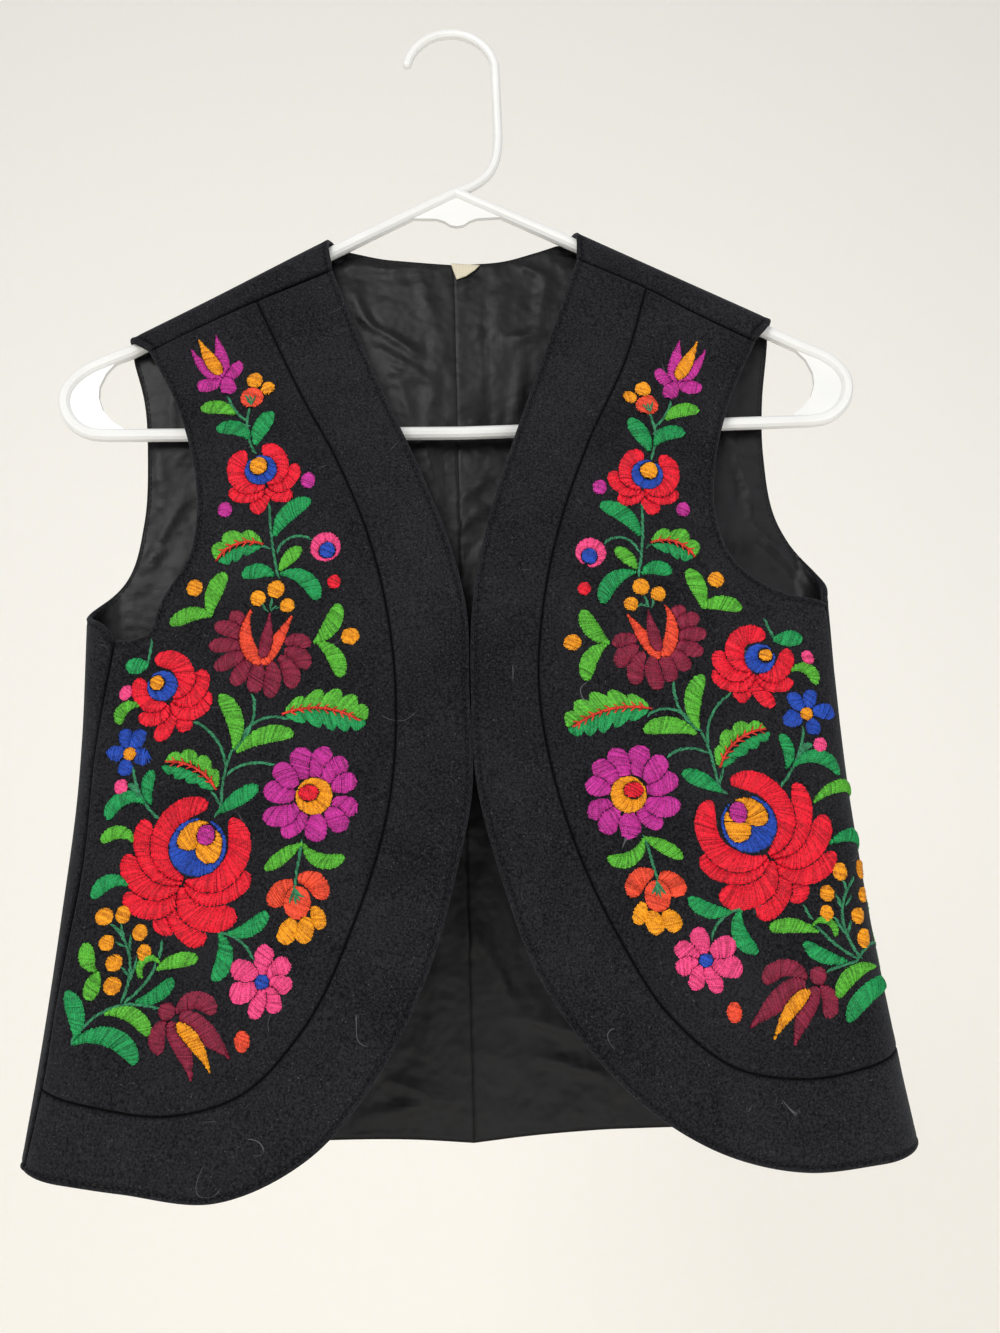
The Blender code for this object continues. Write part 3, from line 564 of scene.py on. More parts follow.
def other_girth(girth, z):
    """The same place on a side, measured from the middle of the other face."""
    flat, radius = flat_and_radius(z)
    return np.sign(girth) * (2 * flat + np.pi * radius - np.abs(girth))


def depth(girth, z, face):
    """Distance from the middle plane to the front (face -1) or back (face 1), inside the sides."""
    flat, radius = flat_and_radius(z)
    bow = form("front_bow" if face < 0 else "back_bow", z)
    share = np.clip(np.abs(girth) / flat, 0, 1)
    full = radius + face * form("middle", z) + bow * (1 - share**2) ** 2
    grown = np.clip((ridge(girth) - z) / FULL_DEPTH, 0, 1)
    return (full - FOLD) * grown * grown * (3 - 2 * grown) + FOLD


def place(points, face):
    """Cut coordinates to space: a flat face, then the rounded side, then the other face.

    Above the foot of the fold over the hanger, v runs on as the distance over it."""
    girth = points[:, 0]
    v = points[:, 1]
    foot = ridge(np.clip(girth, -180, 180)) - FOLD
    turn = np.clip((v - foot) / FOLD, 0, np.pi)
    z = np.where(v <= foot, v, foot + FOLD * np.sin(turn))
    z = np.where(v > foot + np.pi * FOLD, 2 * foot + np.pi * FOLD - v, z)
    flat, radius = flat_and_radius(z)
    side = np.sign(girth)
    around = np.clip((np.abs(girth) - flat) / radius, 0, np.pi)
    past = np.maximum(np.abs(girth) - flat - np.pi * radius, 0)
    x = np.where(np.abs(girth) <= flat, girth, side * (flat + radius * np.sin(around) - past))
    near = depth(girth, z, face)
    far = depth(x, z, -face)
    middle = form("middle", z)
    y = np.where(np.abs(girth) <= flat, face * near, middle + face * radius * np.cos(around))
    y = np.where(past > 0, -face * far, y)
    y = np.where(v > foot, face * FOLD * np.cos(turn), y)
    y = np.where(v > foot + np.pi * FOLD, -face * far, y)
    return np.stack([x, y, z], axis=1)


def place_deep(points, face, deep):
    """As place(), but on a surface this far inside the cloth's middle."""
    across = np.array([0.5, 0.0])
    up = np.array([0.0, 0.5])
    along = place(points + across, face) - place(points - across, face)
    rise = place(points + up, face) - place(points - up, face)
    normal = np.cross(rise, along) * face
    normal /= np.linalg.norm(normal, axis=1, keepdims=True)
    return place(points, face) - normal * deep


def rows(named):
    """A table's columns as rows of numbers."""
    return np.stack([np.array(column, float) for column in named.values()], axis=1)


def curve(points, step=2.5):
    """A smooth line through the points, cut in steps of about this length."""
    knots = np.array(points, float)
    chord = np.linalg.norm(np.diff(knots, axis=0), axis=1)
    along = np.concatenate([[0], np.cumsum(chord)])
    count = max(int(round(along[-1] / step)), 1)
    at = np.linspace(0, along[-1], count + 1)
    line = np.stack([table((along, knots[:, i]), at) for i in range(2)], axis=1)
    line[0] = knots[0]
    line[-1] = knots[-1]
    return line


def joined(lines, least=0.6):
    """One closed outline from (line, free) pairs that meet end to end.

    Beside each point stands whether the edge that starts there is a free edge."""
    points = []
    free = []
    for line, is_free in lines:
        for point in line:
            if points and np.linalg.norm(point - points[-1]) <= least:
                free[-1] = is_free
                continue
            points.append(point)
            free.append(is_free)
    if np.linalg.norm(points[0] - points[-1]) <= least:
        points.pop()
        free.pop()
    return np.array(points), np.array(free)


def area(outline):
    x, y = outline.T
    return 0.5 * np.sum(x * np.roll(y, -1) - y * np.roll(x, -1))


def inset(outline, amount):
    """The outline moved inwards by this amount."""
    side = np.sign(area(outline))
    ahead = np.roll(outline, -1, axis=0) - outline
    ahead /= np.linalg.norm(ahead, axis=1, keepdims=True)
    behind = np.roll(ahead, 1, axis=0)
    left = np.stack([-ahead[:, 1] - behind[:, 1], ahead[:, 0] + behind[:, 0]], axis=1) * side
    long = np.sum(left * left, axis=1, keepdims=True) / 2
    return outline + amount * left / np.maximum(long, 0.5)


def to_lattice(points):
    """Cut coordinates to the lattice that a panel's mesh is built on, one step per cell."""
    girth = points[:, 0]
    v = points[:, 1]
    flat, radius = flat_and_radius(v)
    size = np.abs(girth)
    past = np.maximum(size - flat - np.pi * radius, 0)
    turned = np.clip((size - flat) / (np.pi * radius), 0, 1)
    column = np.minimum(size / flat, 1) * COLUMNS + turned * FOLD_STEPS + past / flat * COLUMNS
    foot = ridge(np.clip(girth, -180, 180)) - FOLD
    upper = (v - FULL_ROWS) / (foot - FULL_ROWS) * UPPER_ROWS
    over = UPPER_ROWS + (v - foot) / (np.pi * FOLD) * FOLD_STEPS
    beyond = UPPER_ROWS + FOLD_STEPS + (v - foot - np.pi * FOLD) / 4
    row = np.where(v < FULL_ROWS, (v - FULL_ROWS) / ROW, upper)
    row = np.where(v > foot, over, row)
    row = np.where(v > foot + np.pi * FOLD, beyond, row)
    return np.stack([np.sign(girth) * column, row], axis=1)


def from_lattice(cells):
    """The cut coordinates of lattice points. The half width changes slowly, so four rounds settle it."""
    column = np.abs(cells[:, 0])
    row = cells[:, 1]
    v = np.full(len(cells), FULL_ROWS)
    for _ in range(4):
        flat, radius = flat_and_radius(v)
        girth = np.minimum(column / COLUMNS, 1) * flat
        girth += np.clip((column - COLUMNS) / FOLD_STEPS, 0, 1) * np.pi * radius
        girth += np.maximum(column - COLUMNS - FOLD_STEPS, 0) / COLUMNS * flat
        girth *= np.sign(cells[:, 0])
        foot = ridge(np.clip(girth, -180, 180)) - FOLD
        v = np.where(row < 0, FULL_ROWS + row * ROW, FULL_ROWS + row / UPPER_ROWS * (foot - FULL_ROWS))
        over = foot + (row - UPPER_ROWS) / FOLD_STEPS * np.pi * FOLD
        v = np.where(row > UPPER_ROWS, over, v)
        beyond = foot + np.pi * FOLD + (row - UPPER_ROWS - FOLD_STEPS) * 4
        v = np.where(row > UPPER_ROWS + FOLD_STEPS, beyond, v)
    return np.stack([girth, v], axis=1)


def to_edges(points, outline, free):
    """For each point, whether it is inside, its distance to the outline, and to its free edges."""
    a = outline[None]
    b = np.roll(outline, -1, axis=0)[None]
    inside = []
    near = []
    near_free = []
    for start in range(0, len(points), 2000):
        p = points[start : start + 2000, None]
        rises = (a[..., 1] > p[..., 1]) != (b[..., 1] > p[..., 1])
        run = np.where(rises, b[..., 1] - a[..., 1], 1)
        cross = a[..., 0] + (p[..., 1] - a[..., 1]) * (b[..., 0] - a[..., 0]) / run
        inside.append(np.sum(rises & (p[..., 0] < cross), axis=1) % 2 == 1)
        edge = b - a
        share = np.sum((p - a) * edge, axis=2) / np.maximum(np.sum(edge * edge, axis=2), 1e-9)
        away = p - a - np.clip(share, 0, 1)[..., None] * edge
        away = np.linalg.norm(away, axis=2)
        near.append(away.min(axis=1))
        near_free.append(np.where(free[None], away, 99).min(axis=1))
    return np.concatenate(inside), np.concatenate(near), np.concatenate(near_free)


def soft(girth, v, face):
    """How far the cloth stands proud of the form: a few broad, uneven waves."""
    a = np.sin(girth / 47 + v / 83 + face) * np.sin(v / 61 - girth / 130)
    b = np.sin(girth / 23 - v / 37 + 2 * face) * np.sin(v / 29 + girth / 71)
    return 0.4 * a + 0.18 * b + creased(girth, v, FELT_CREASES[face])


def creased(girth, v, creases):
    """Soft ridges and troughs: each a bell across its own line, fading to both ends."""
    total = np.zeros(len(girth))
    for middle, height, turn, long, wide, rise in creases:
        along = (np.cos(np.radians(turn)), np.sin(np.radians(turn)))
        run = ((girth - middle) * along[0] + (v - height) * along[1]) / long
        across = ((v - height) * along[0] - (girth - middle) * along[1]) / wide
        total += rise * np.exp(-(across**2) - run**4)
    return total


def colour(code):
    """An sRGB hex code as linear red, green and blue."""
    value = np.array([int(code[i : i + 2], 16) for i in (0, 2, 4)]) / 255
    linear = np.where(value <= 0.04045, value / 12.92, ((value + 0.055) / 1.055) ** 2.4)
    return (*linear, 1.0)


def add(tree, kind, values=(), **settings):
    """A node of this kind, with its settings and the values of its inputs."""
    node = tree.nodes.new("ShaderNode" + kind)
    for name, value in settings.items():
        setattr(node, name, value)
    for name, value in values:
        if isinstance(value, bpy.types.NodeSocket):
            tree.links.new(value, node.inputs[name])
        else:
            node.inputs[name].default_value = value
    return node


def new_material(name):
    made = bpy.data.materials.new(name)
    made.use_nodes = True
    tree = made.node_tree
    return made, tree, tree.nodes["Principled BSDF"]


def felt_material(name, dark, light):
    """Matted wool: a close black grain, short fibres that catch light, a few pale stray hairs, and painted
    shade along its seams and topstitching.
    """
    made, tree, shader = new_material(name)
    place = add(tree, "TexCoord").outputs["Object"]
    grain = add(tree, "TexNoise", (("Vector", place), ("Scale", 950.0), ("Detail", 4.0)))
    blotch = add(tree, "TexNoise", (("Vector", place), ("Scale", 26.0), ("Detail", 3.0)))
    fine = add(tree, "TexNoise", (("Vector", place), ("Scale", 1300.0), ("Detail", 2.0)))
    broad = add(tree, "Math", ((0, blotch.outputs["Fac"]), (1, 0.3)), operation="MULTIPLY")
    both = add(tree, "Math", ((0, grain.outputs["Fac"]), (1, broad.outputs[0])), operation="ADD")
    wide = add(tree, "MapRange", (("Value", both.outputs[0]), ("From Min", 0.48), ("From Max", 0.82)))
    base = add(
        tree, "Mix", ((0, wide.outputs[0]), (6, colour(dark)), (7, colour(light))), data_type="RGBA"
    )
    line = add(tree, "TexNoise", (("Vector", place), ("Scale", 62.0), ("Detail", 0.0)))
    level = add(tree, "Math", ((0, line.outputs["Fac"]), (1, 0.5)), operation="SUBTRACT")
    away = add(tree, "Math", ((0, level.outputs[0]),), operation="ABSOLUTE")
    thin = add(
        tree, "MapRange",
        (("Value", away.outputs[0]), ("From Min", 0.002), ("From Max", 0.006), ("To Min", 1.0),
         ("To Max", 0.0)),
    )
    rare = add(tree, "TexNoise", (("Vector", place), ("Scale", 47.0), ("Detail", 1.0)))
    some = add(
        tree, "MapRange", (("Value", rare.outputs["Fac"]), ("From Min", 0.66), ("From Max", 0.7))
    )
    hair = add(tree, "Math", ((0, thin.outputs[0]), (1, some.outputs[0])), operation="MULTIPLY")
    speck = add(
        tree, "MapRange", (("Value", fine.outputs["Fac"]), ("From Min", 0.66), ("From Max", 0.8))
    )
    seen = add(tree, "Math", ((0, hair.outputs[0]), (1, speck.outputs[0])), operation="MAXIMUM")
    part = add(tree, "Math", ((0, seen.outputs[0]), (1, 0.45)), operation="MULTIPLY")
    whole = add(
        tree, "Mix", ((0, part.outputs[0]), (6, base.outputs[2]), (7, colour("77777c"))),
        data_type="RGBA",
    )
    # Painted shade: the base colour goes nearly black and the sheen fades in the seams' grooves and along
    # the topstitching.
    painted_seam_shade = add(tree, "Attribute", attribute_name="painted_seam_shade")
    shade = add(
        tree, "Mix", ((0, painted_seam_shade.outputs["Fac"]), (6, whole.outputs[2]), (7, colour("020202"))),
        data_type="RGBA",
    )
    tree.links.new(shade.outputs[2], shader.inputs["Base Color"])
    sheen_cut_by_painted_shade = add(tree, "MapRange", (("Value", painted_seam_shade.outputs["Fac"]), ("To Min", 0.1), ("To Max", 0.0)))
    tree.links.new(sheen_cut_by_painted_shade.outputs[0], shader.inputs["Sheen Weight"])
    heights = add(tree, "Math", ((0, fine.outputs["Fac"]), (1, grain.outputs["Fac"])), operation="ADD")
    bump = add(tree, "Bump", (("Height", heights.outputs[0]), ("Strength", 0.6), ("Distance", 0.0004)))
    tree.links.new(bump.outputs[0], shader.inputs["Normal"])
    shader.inputs["Roughness"].default_value = 1.0
    shader.inputs["Specular IOR Level"].default_value = 0.06
    shader.inputs["Sheen Roughness"].default_value = 0.5
    shader.inputs["Sheen Tint"].default_value = (0.75, 0.78, 0.82, 1)
    return made


def satin_material():
    """Black lining: fine close yarns, small soft puckers, a wide misty gloss, and painted shade along its
    edges.
    """
    made, tree, shader = new_material("black satin lining")
    place = add(tree, "TexCoord").outputs["Object"]
    cloud = add(tree, "TexNoise", (("Vector", place), ("Scale", 70.0), ("Detail", 7.0), ("Roughness", 0.62)))
    pucker = add(tree, "TexNoise", (("Vector", place), ("Scale", 55.0), ("Detail", 2.0)))
    grain = add(tree, "TexNoise", (("Vector", place), ("Scale", 900.0), ("Detail", 2.0)))
    tone = add(tree, "MapRange", (("Value", cloud.outputs["Fac"]), ("From Min", 0.35), ("From Max", 0.7)))
    base = add(
        tree, "Mix", ((0, tone.outputs[0]), (6, colour("0a0a0b")), (7, colour("18181a"))), data_type="RGBA"
    )
    # Painted shade: the base colour goes nearly black along the lining's sewn edges.
    painted_seam_shade = add(tree, "Attribute", attribute_name="painted_seam_shade")
    shade = add(
        tree, "Mix", ((0, painted_seam_shade.outputs["Fac"]), (6, base.outputs[2]), (7, colour("020202"))),
        data_type="RGBA",
    )
    tree.links.new(shade.outputs[2], shader.inputs["Base Color"])
    large = add(tree, "Math", ((0, pucker.outputs["Fac"]), (1, 5.0)), operation="MULTIPLY")
    small = add(tree, "Math", ((0, grain.outputs["Fac"]), (1, 0.12)), operation="MULTIPLY")
    height = add(tree, "Math", ((0, large.outputs[0]), (1, small.outputs[0])), operation="ADD")
    bump = add(tree, "Bump", (("Height", height.outputs[0]), ("Strength", 0.6), ("Distance", 0.0008)))
    tree.links.new(bump.outputs[0], shader.inputs["Normal"])
    rough = add(tree, "MapRange", (("Value", cloud.outputs["Fac"]), ("To Min", 0.28), ("To Max", 0.6)))
    tree.links.new(rough.outputs[0], shader.inputs["Roughness"])
    shader.inputs["Specular IOR Level"].default_value = 0.2
    shader.inputs["Anisotropic"].default_value = 0.4
    shader.inputs["Sheen Weight"].default_value = 0.03
    shader.inputs["Sheen Roughness"].default_value = 0.35
    return made


def thread_material(name, code):
    """Stranded cotton: each stitch a little lighter or darker, with the twist of its plies as bumps and as
    painted highlights along it.
    """
    made, tree, shader = new_material(name)
    place = add(tree, "TexCoord").outputs["Object"]
    tone = add(tree, "Attribute", attribute_name="tone")
    twist = add(tree, "Attribute", attribute_name="along")
    fuzz = add(tree, "TexNoise", (("Vector", place), ("Scale", 950.0), ("Detail", 3.0)))
    ply = add(tree, "Math", ((0, twist.outputs["Fac"]), (1, 7.0)), operation="MULTIPLY")
    wave = add(tree, "Math", ((0, ply.outputs[0]),), operation="SINE")
    own = add(tree, "Math", ((0, tone.outputs["Fac"]), (1, 0.35)), operation="MULTIPLY")
    both = add(tree, "Math", ((0, own.outputs[0]), (1, fuzz.outputs["Fac"])), operation="ADD")
    # Painted highlight: the ply twist makes the colour lighter and darker in dashes along each stitch.
    light = add(tree, "Math", ((0, wave.outputs[0]), (1, 0.09)), operation="MULTIPLY")
    total = add(tree, "Math", ((0, both.outputs[0]), (1, light.outputs[0])), operation="ADD")
    share = add(tree, "MapRange", (("Value", total.outputs[0]), ("From Min", 0.4), ("From Max", 0.98)))
    full = np.array(colour(code)[:3])
    base = add(
        tree, "Mix",
        ((0, share.outputs[0]), (6, (*full * 0.42, 1)), (7, (*np.minimum(full * 1.45 + 0.008, 1), 1))),
        data_type="RGBA",
    )
    tree.links.new(base.outputs[2], shader.inputs["Base Color"])
    height = add(tree, "Math", ((0, wave.outputs[0]), (1, fuzz.outputs["Fac"])), operation="ADD")
    bump = add(tree, "Bump", (("Height", height.outputs[0]), ("Strength", 0.5), ("Distance", 0.0001)))
    tree.links.new(bump.outputs[0], shader.inputs["Normal"])
    shader.inputs["Roughness"].default_value = 0.4
    shader.inputs["Specular IOR Level"].default_value = 0.2
    return made


def label_material():
    """Cream woven tape, its ribs 0.4 mm apart."""
    made, tree, shader = new_material("cream cotton tape")
    place = add(tree, "TexCoord").outputs["Object"]
    ribs = add(tree, "TexWave", (("Vector", place), ("Scale", 400.0), ("Distortion", 0.6)))
    cross = add(
        tree, "TexWave", (("Vector", place), ("Scale", 560.0), ("Distortion", 0.6)), bands_direction="Z"
    )
    weave = add(tree, "Math", ((0, ribs.outputs["Fac"]), (1, cross.outputs["Fac"])), operation="MULTIPLY")
    base = add(
        tree, "Mix", ((0, weave.outputs[0]), (6, colour("bdb59c")), (7, colour("e6dfca"))), data_type="RGBA"
    )
    tree.links.new(base.outputs[2], shader.inputs["Base Color"])
    bump = add(tree, "Bump", (("Height", weave.outputs[0]), ("Strength", 0.4), ("Distance", 0.0002)))
    tree.links.new(bump.outputs[0], shader.inputs["Normal"])
    shader.inputs["Roughness"].default_value = 0.9
    return made


def plastic_material():
    """Moulded white plastic: a faint waviness from the mould and soft handling marks."""
    made, tree, shader = new_material("white polypropylene")
    place = add(tree, "TexCoord").outputs["Object"]
    slow = add(tree, "TexNoise", (("Vector", place), ("Scale", 30.0), ("Detail", 2.0)))
    fine = add(tree, "TexNoise", (("Vector", place), ("Scale", 420.0), ("Detail", 4.0)))
    base = add(
        tree, "Mix", ((0, slow.outputs["Fac"]), (6, colour("d6d6d3")), (7, colour("e8e8e5"))),
        data_type="RGBA",
    )
    tree.links.new(base.outputs[2], shader.inputs["Base Color"])
    rough = add(tree, "MapRange", (("Value", fine.outputs["Fac"]), ("To Min", 0.26), ("To Max", 0.42)))
    tree.links.new(rough.outputs[0], shader.inputs["Roughness"])
    bump = add(tree, "Bump", (("Height", slow.outputs["Fac"]), ("Strength", 0.15), ("Distance", 0.0006)))
    tree.links.new(bump.outputs[0], shader.inputs["Normal"])
    shader.inputs["Subsurface Weight"].default_value = 0.15
    shader.inputs["Subsurface Radius"].default_value = (0.004, 0.004, 0.004)
    return made


def paint_material(code):
    """Matt wall paint, which glows a little as a lit studio wall does."""
    made, tree, shader = new_material("matt pale paint")
    place = add(tree, "TexCoord").outputs["Object"]
    grain = add(tree, "TexNoise", (("Vector", place), ("Scale", 60.0), ("Detail", 4.0)))
    base = add(
        tree, "Mix", ((0, grain.outputs["Fac"]), (6, colour(code)), (7, colour("f3f0e9"))), data_type="RGBA"
    )
    tree.links.new(base.outputs[2], shader.inputs["Base Color"])
    shader.inputs["Roughness"].default_value = 0.9
    shader.inputs["Emission Color"].default_value = colour("f3f0e9")
    shader.inputs["Emission Strength"].default_value = 0.23
    return made


def add_piece(name, points, faces, looks, index=None, smooth=True):
    """A mesh object of the vest, in metres, that rides on its one body."""
    mesh = bpy.data.meshes.new(name)
    mesh.from_pydata((np.asarray(points) * MM).tolist(), [], faces)
    for look in looks:
        mesh.materials.append(look)
    if index is not None:
        mesh.polygons.foreach_set("material_index", index)
    mesh.polygons.foreach_set("use_smooth", [smooth] * len(mesh.polygons))
    made = bpy.data.objects.new(name, mesh)
    bpy.context.scene.collection.objects.link(made)
    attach(made, "root")
    return made


def sewn_panel(name, lines, face, look, wall=FELT, deep=0.0, slot="felt", crease=None, finer=1):
    """A cloth panel from its outline in cut coordinates.

    Rings of points follow the outline where its edge rounds over, and a lattice fills
    the rest. Half the wall at a distance d from a free edge is wall / 2 times the
    square root of 1 - (1 - d / rounding) squared, and at a seam it dips by half."""
    outline, free = joined(lines)
    outline = inset(outline, 0.04)
    cells = to_lattice(outline)
    points = [outline]
    for step in RINGS:
        ring = inset(outline, step)
        ok, near, _ = to_edges(ring, outline, free)
        points.append(ring[ok & (near > step * 0.93)])
    low = np.floor(cells.min(axis=0))
    high = np.ceil(cells.max(axis=0))
    step = 1 / finer
    grid = np.meshgrid(np.arange(low[0], high[0] + 1, step), np.arange(low[1], high[1] + 1, step))
    lattice = from_lattice(np.stack([side.ravel() for side in grid], axis=1))
    ok, near, _ = to_edges(lattice, outline, free)
    points.append(lattice[ok & (near > RINGS[-1] + 1.6)])
    flat = np.concatenate(points)
    cells = to_lattice(flat)
    count = len(outline)
    edges = [(i, (i + 1) % count) for i in range(count)]
    result = delaunay_2d_cdt(cells.tolist(), edges, [list(range(count))], 1, 1e-6)
    origin = np.array([ids[0] if ids else -1 for ids in result[3]])
    back = from_lattice(np.array([tuple(p) for p in result[0]]))
    back[origin >= 0] = flat[origin[origin >= 0]]
    faces = [list(f) for f in result[2]]
    used = sorted({i for f in faces for i in f})
    index = {old: new for new, old in enumerate(used)}
    faces = [[index[i] for i in f] for f in faces]
    if face < 0:
        faces = [f[::-1] for f in faces]
    back = back[used]
    _, near, near_free = to_edges(back, outline, free)
    thin = wall / 2
    rounded = np.sqrt(1 - (1 - np.clip(near_free / (thin * 0.9), 0.03, 1)) ** 2)
    sewn = 1 - 0.85 * np.exp(-((near / 0.8) ** 2)) * (near_free > near + 0.5)
    half = thin * rounded * sewn
    stitched = 0.36 * np.exp(-(((near_free - TOPSTITCH) / 0.6) ** 2))
    stitched -= 0.22 * np.exp(-(((near_free - 1.1) / 0.8) ** 2))
    proud = soft(back[:, 0], back[:, 1], face)
    if crease is not None:
        proud = proud + crease(back, near)
    outer = displaced(back, face, deep, half + proud - (stitched if slot == "felt" else 0))
    inner = displaced(back, face, deep, -half + proud)
    directed = {(f[i], f[(i + 1) % 3]) for f in faces for i in range(3)}
    rim = [(a, b) for a, b in directed if (b, a) not in directed]
    shift = len(used)
    solid = [f[::-1] for f in faces] + [[i + shift for i in f] for f in faces]
    solid += [[a, b, b + shift, a + shift] for a, b in rim]
    made = add_piece(name, np.concatenate([outer, inner]), solid, [look])
    # Painted shade: a mask that darkens the seams' grooves, and on felt the topstitch line too, where their
    # shadow would fall.
    painted_seam_shade = 0.92 * np.exp(-((near / 0.7) ** 2)) * (near_free > near + 0.5)
    if slot == "felt":
        painted_seam_shade = np.maximum(painted_seam_shade, 0.75 * np.exp(-(((near_free - TOPSTITCH) / 0.55) ** 2)))
    keep_values(made, "painted_seam_shade", np.tile(painted_seam_shade, 2))
    return made, outline


def keep_values(piece, name, values):
    """One number for each point of the piece, for its material to read."""
    store = piece.data.attributes.new(name, "FLOAT", "POINT")
    store.data.foreach_set("value", values.astype(np.float32))


def displaced(points, face, deep, proud):
    """Points on the form, moved outwards along its normal by their own amounts."""
    surface = place_deep(points, face, 0.0)
    outward = surface - place_deep(points, face, 1.0)
    return surface + outward * (proud - deep)[:, None]


def with_point(line, point):
    """The line with its nearest point moved onto this one, and that point's place in it."""
    nearest = int(np.argmin(np.linalg.norm(line - point, axis=1)))
    line[nearest] = point
    return nearest


def front_lines(side):
    """The lines of one front, as curves that two panels share point for point."""
    band = curve(rows(BAND_SEAM[side]))
    shoulder = curve(rows(SHOULDER_SEAM[side]))
    split = with_point(shoulder, band[0])
    seam = curve(rows(SIDE_SEAM[side]))
    turn = with_point(seam, band[-1])
    return {
        "neck_shoulder": shoulder[: split + 1],
        "arm_shoulder": shoulder[split:],
        "shoulder": shoulder,
        "armhole": curve(rows(FRONT_ARMHOLE[side])),
        "side_high": seam[: turn + 1],
        "side_low": seam[turn:],
        "side": seam,
        "band": band,
        "edge": curve(rows(FRONT_EDGE[side])),
    }


def over_shoulder(line):
    """A line on the front near the shoulder in the back's cut coordinates, over the fold."""
    foot = ridge(line[:, 0]) - FOLD
    return np.stack([line[:, 0], 2 * foot + np.pi * FOLD - line[:, 1]], axis=1)


def half_of(named, sign):
    """The rows of a table on one side, outwards from the middle."""
    points = rows(named)
    middle = (0, float(table(points.T, 0.0)))
    points = points[points[:, 0] * sign > 5]
    return np.concatenate([[middle], points[np.argsort(np.abs(points[:, 0]))]])


def back_half(side, lines):
    """One half of the back as (line, free) pairs, from the hem's middle round to the neck's."""
    sign = -1 if side == "left" else 1
    seam = lines["side"][::-1]
    seam = np.stack([other_girth(seam[:, 0], seam[:, 1]), seam[:, 1]], axis=1)
    hem = half_of(BACK_HEM, sign)
    hem = curve(np.concatenate([hem, seam[:1]]))
    armhole = curve(np.concatenate([seam[-1:], rows(BACK_ARMHOLE[side])]))
    end = SHOULDER_END[side]
    foot = ridge(end) - FOLD
    shoulder = over_shoulder(lines["shoulder"])[::-1]
    outer = curve((armhole[-1], (end, foot), (end, foot + np.pi / 2 * FOLD), shoulder[0]), 1.5)
    neck = half_of(BACK_NECK, sign)[::-1]
    rise = (sign * 65.2, ridge(sign * 65.2) - FOLD + np.pi / 2 * FOLD)
    inner = curve((shoulder[-1], rise, (sign * 62.6, ridge(sign * 62.6) - FOLD + 5), neck[0]), 1.5)
    return [
        (hem, True), (seam, False), (armhole, True), (outer, True), (shoulder, False),
        (inner, True), (curve(neck), True),
    ]


def lining_lines(half, sign):
    """The back's half held inside the side's middle and below the fold, up to the neck."""
    outline, _ = joined(half)
    flat, radius = flat_and_radius(outline[:, 1])
    limit = flat + radius * np.pi / 2
    outline[:, 0] = sign * np.minimum(np.abs(outline[:, 0]), limit)
    foot = ridge(outline[:, 0]) - FOLD - 1
    over = np.abs(outline[:, 0]) > 60.5
    outline[:, 1] = np.where(over, np.minimum(outline[:, 1], foot), outline[:, 1])
    kept, _ = joined([(outline, False)], least=1.6)
    kept = inset(kept, LINING_INSET)
    kept[np.abs(kept[:, 0]) < 3, 0] = 0.0
    return [(kept, False), (curve((kept[-1], kept[0])), False)]


def wrinkled(points, near):
    """How far the lining stands outwards: its creases rise into the vest, and its edge is held."""
    girth, v = points.T
    slack = [(*row[:4], row[4] * SLACK_WIDTH, row[5] * SLACK_RISE) for row in LINING_CREASES]
    total = creased(girth, v, slack)
    total += 0.2 * (1 + np.sin(girth / 9 + v / 17) * np.sin(v / 13 - girth / 21))
    held = 1 - np.exp(-((near / 5) ** 2)) * np.clip((np.abs(girth) - 4) / 5, 0, 1)
    return 0.4 - 0.15 * held - total * held


def spine(row, u):
    """Places and headings along a shape's middle line, an arc of even bend."""
    x, z, turn, long, bend = row[2:7]
    start = np.radians(turn)
    whole = np.radians(bend) if abs(bend) > 1 else 0.02
    heading = start + whole * u
    radius = long / whole
    place = np.stack([np.sin(heading) - np.sin(start), np.cos(start) - np.cos(heading)], axis=-1)
    return place * radius + (x, z), heading


def half_width(row, u):
    """Half the shape's width at u: a sine from the base up to full width, then a rounded end."""
    wide = row[7] / 2
    if row[0] == "dot":
        return wide * np.sqrt(np.clip(1 - (2 * u - 1) ** 2, 0, 1))
    base, first, last, tip, slow = PROFILE[row[0]]
    rise = base + (1 - base) * np.sin(np.pi / 2 * np.clip(u / first, 0, 1)) ** slow
    fall = (1 - np.clip((u - last) / (1 - last), 0, 1) ** 2) ** tip
    return wide * FULLER[row[0]] * rise * fall


def satin(row):
    """Slanted stitches from one side of a shape to the other."""
    long = row[5]
    count = max(int(long / PITCH), 2)
    u = (np.arange(count) + 0.5) / count
    lean = np.tan(np.radians(SLANT)) * half_width(row, u) / long
    ends = []
    for side in (-1, 1):
        at = np.clip(u + side * lean, 0.005, 0.995)
        place, heading = spine(row, at)
        normal = np.stack([-np.sin(heading), np.cos(heading)], axis=1)
        ends.append(place + normal * (side * half_width(row, at))[:, None])
    return ends[0], ends[1], min(PADDING * row[7] ** 0.5, 1.1)


def ring(row):
    """Stitches from a round hole out to a larger circle whose middle lies off to one side."""
    x, z, turn, wide, hole, off = row[2:8]
    count = int(np.pi * (wide * 0.8) / PITCH)
    around = np.linspace(0, 2 * np.pi, count, endpoint=False)
    circle = np.stack([np.cos(around), np.sin(around)], axis=1)
    middle = np.array([np.cos(np.radians(turn)), np.sin(np.radians(turn))]) * off
    return circle * hole / 2 + (x, z), circle * wide / 2 + (x, z) + middle, 0.5


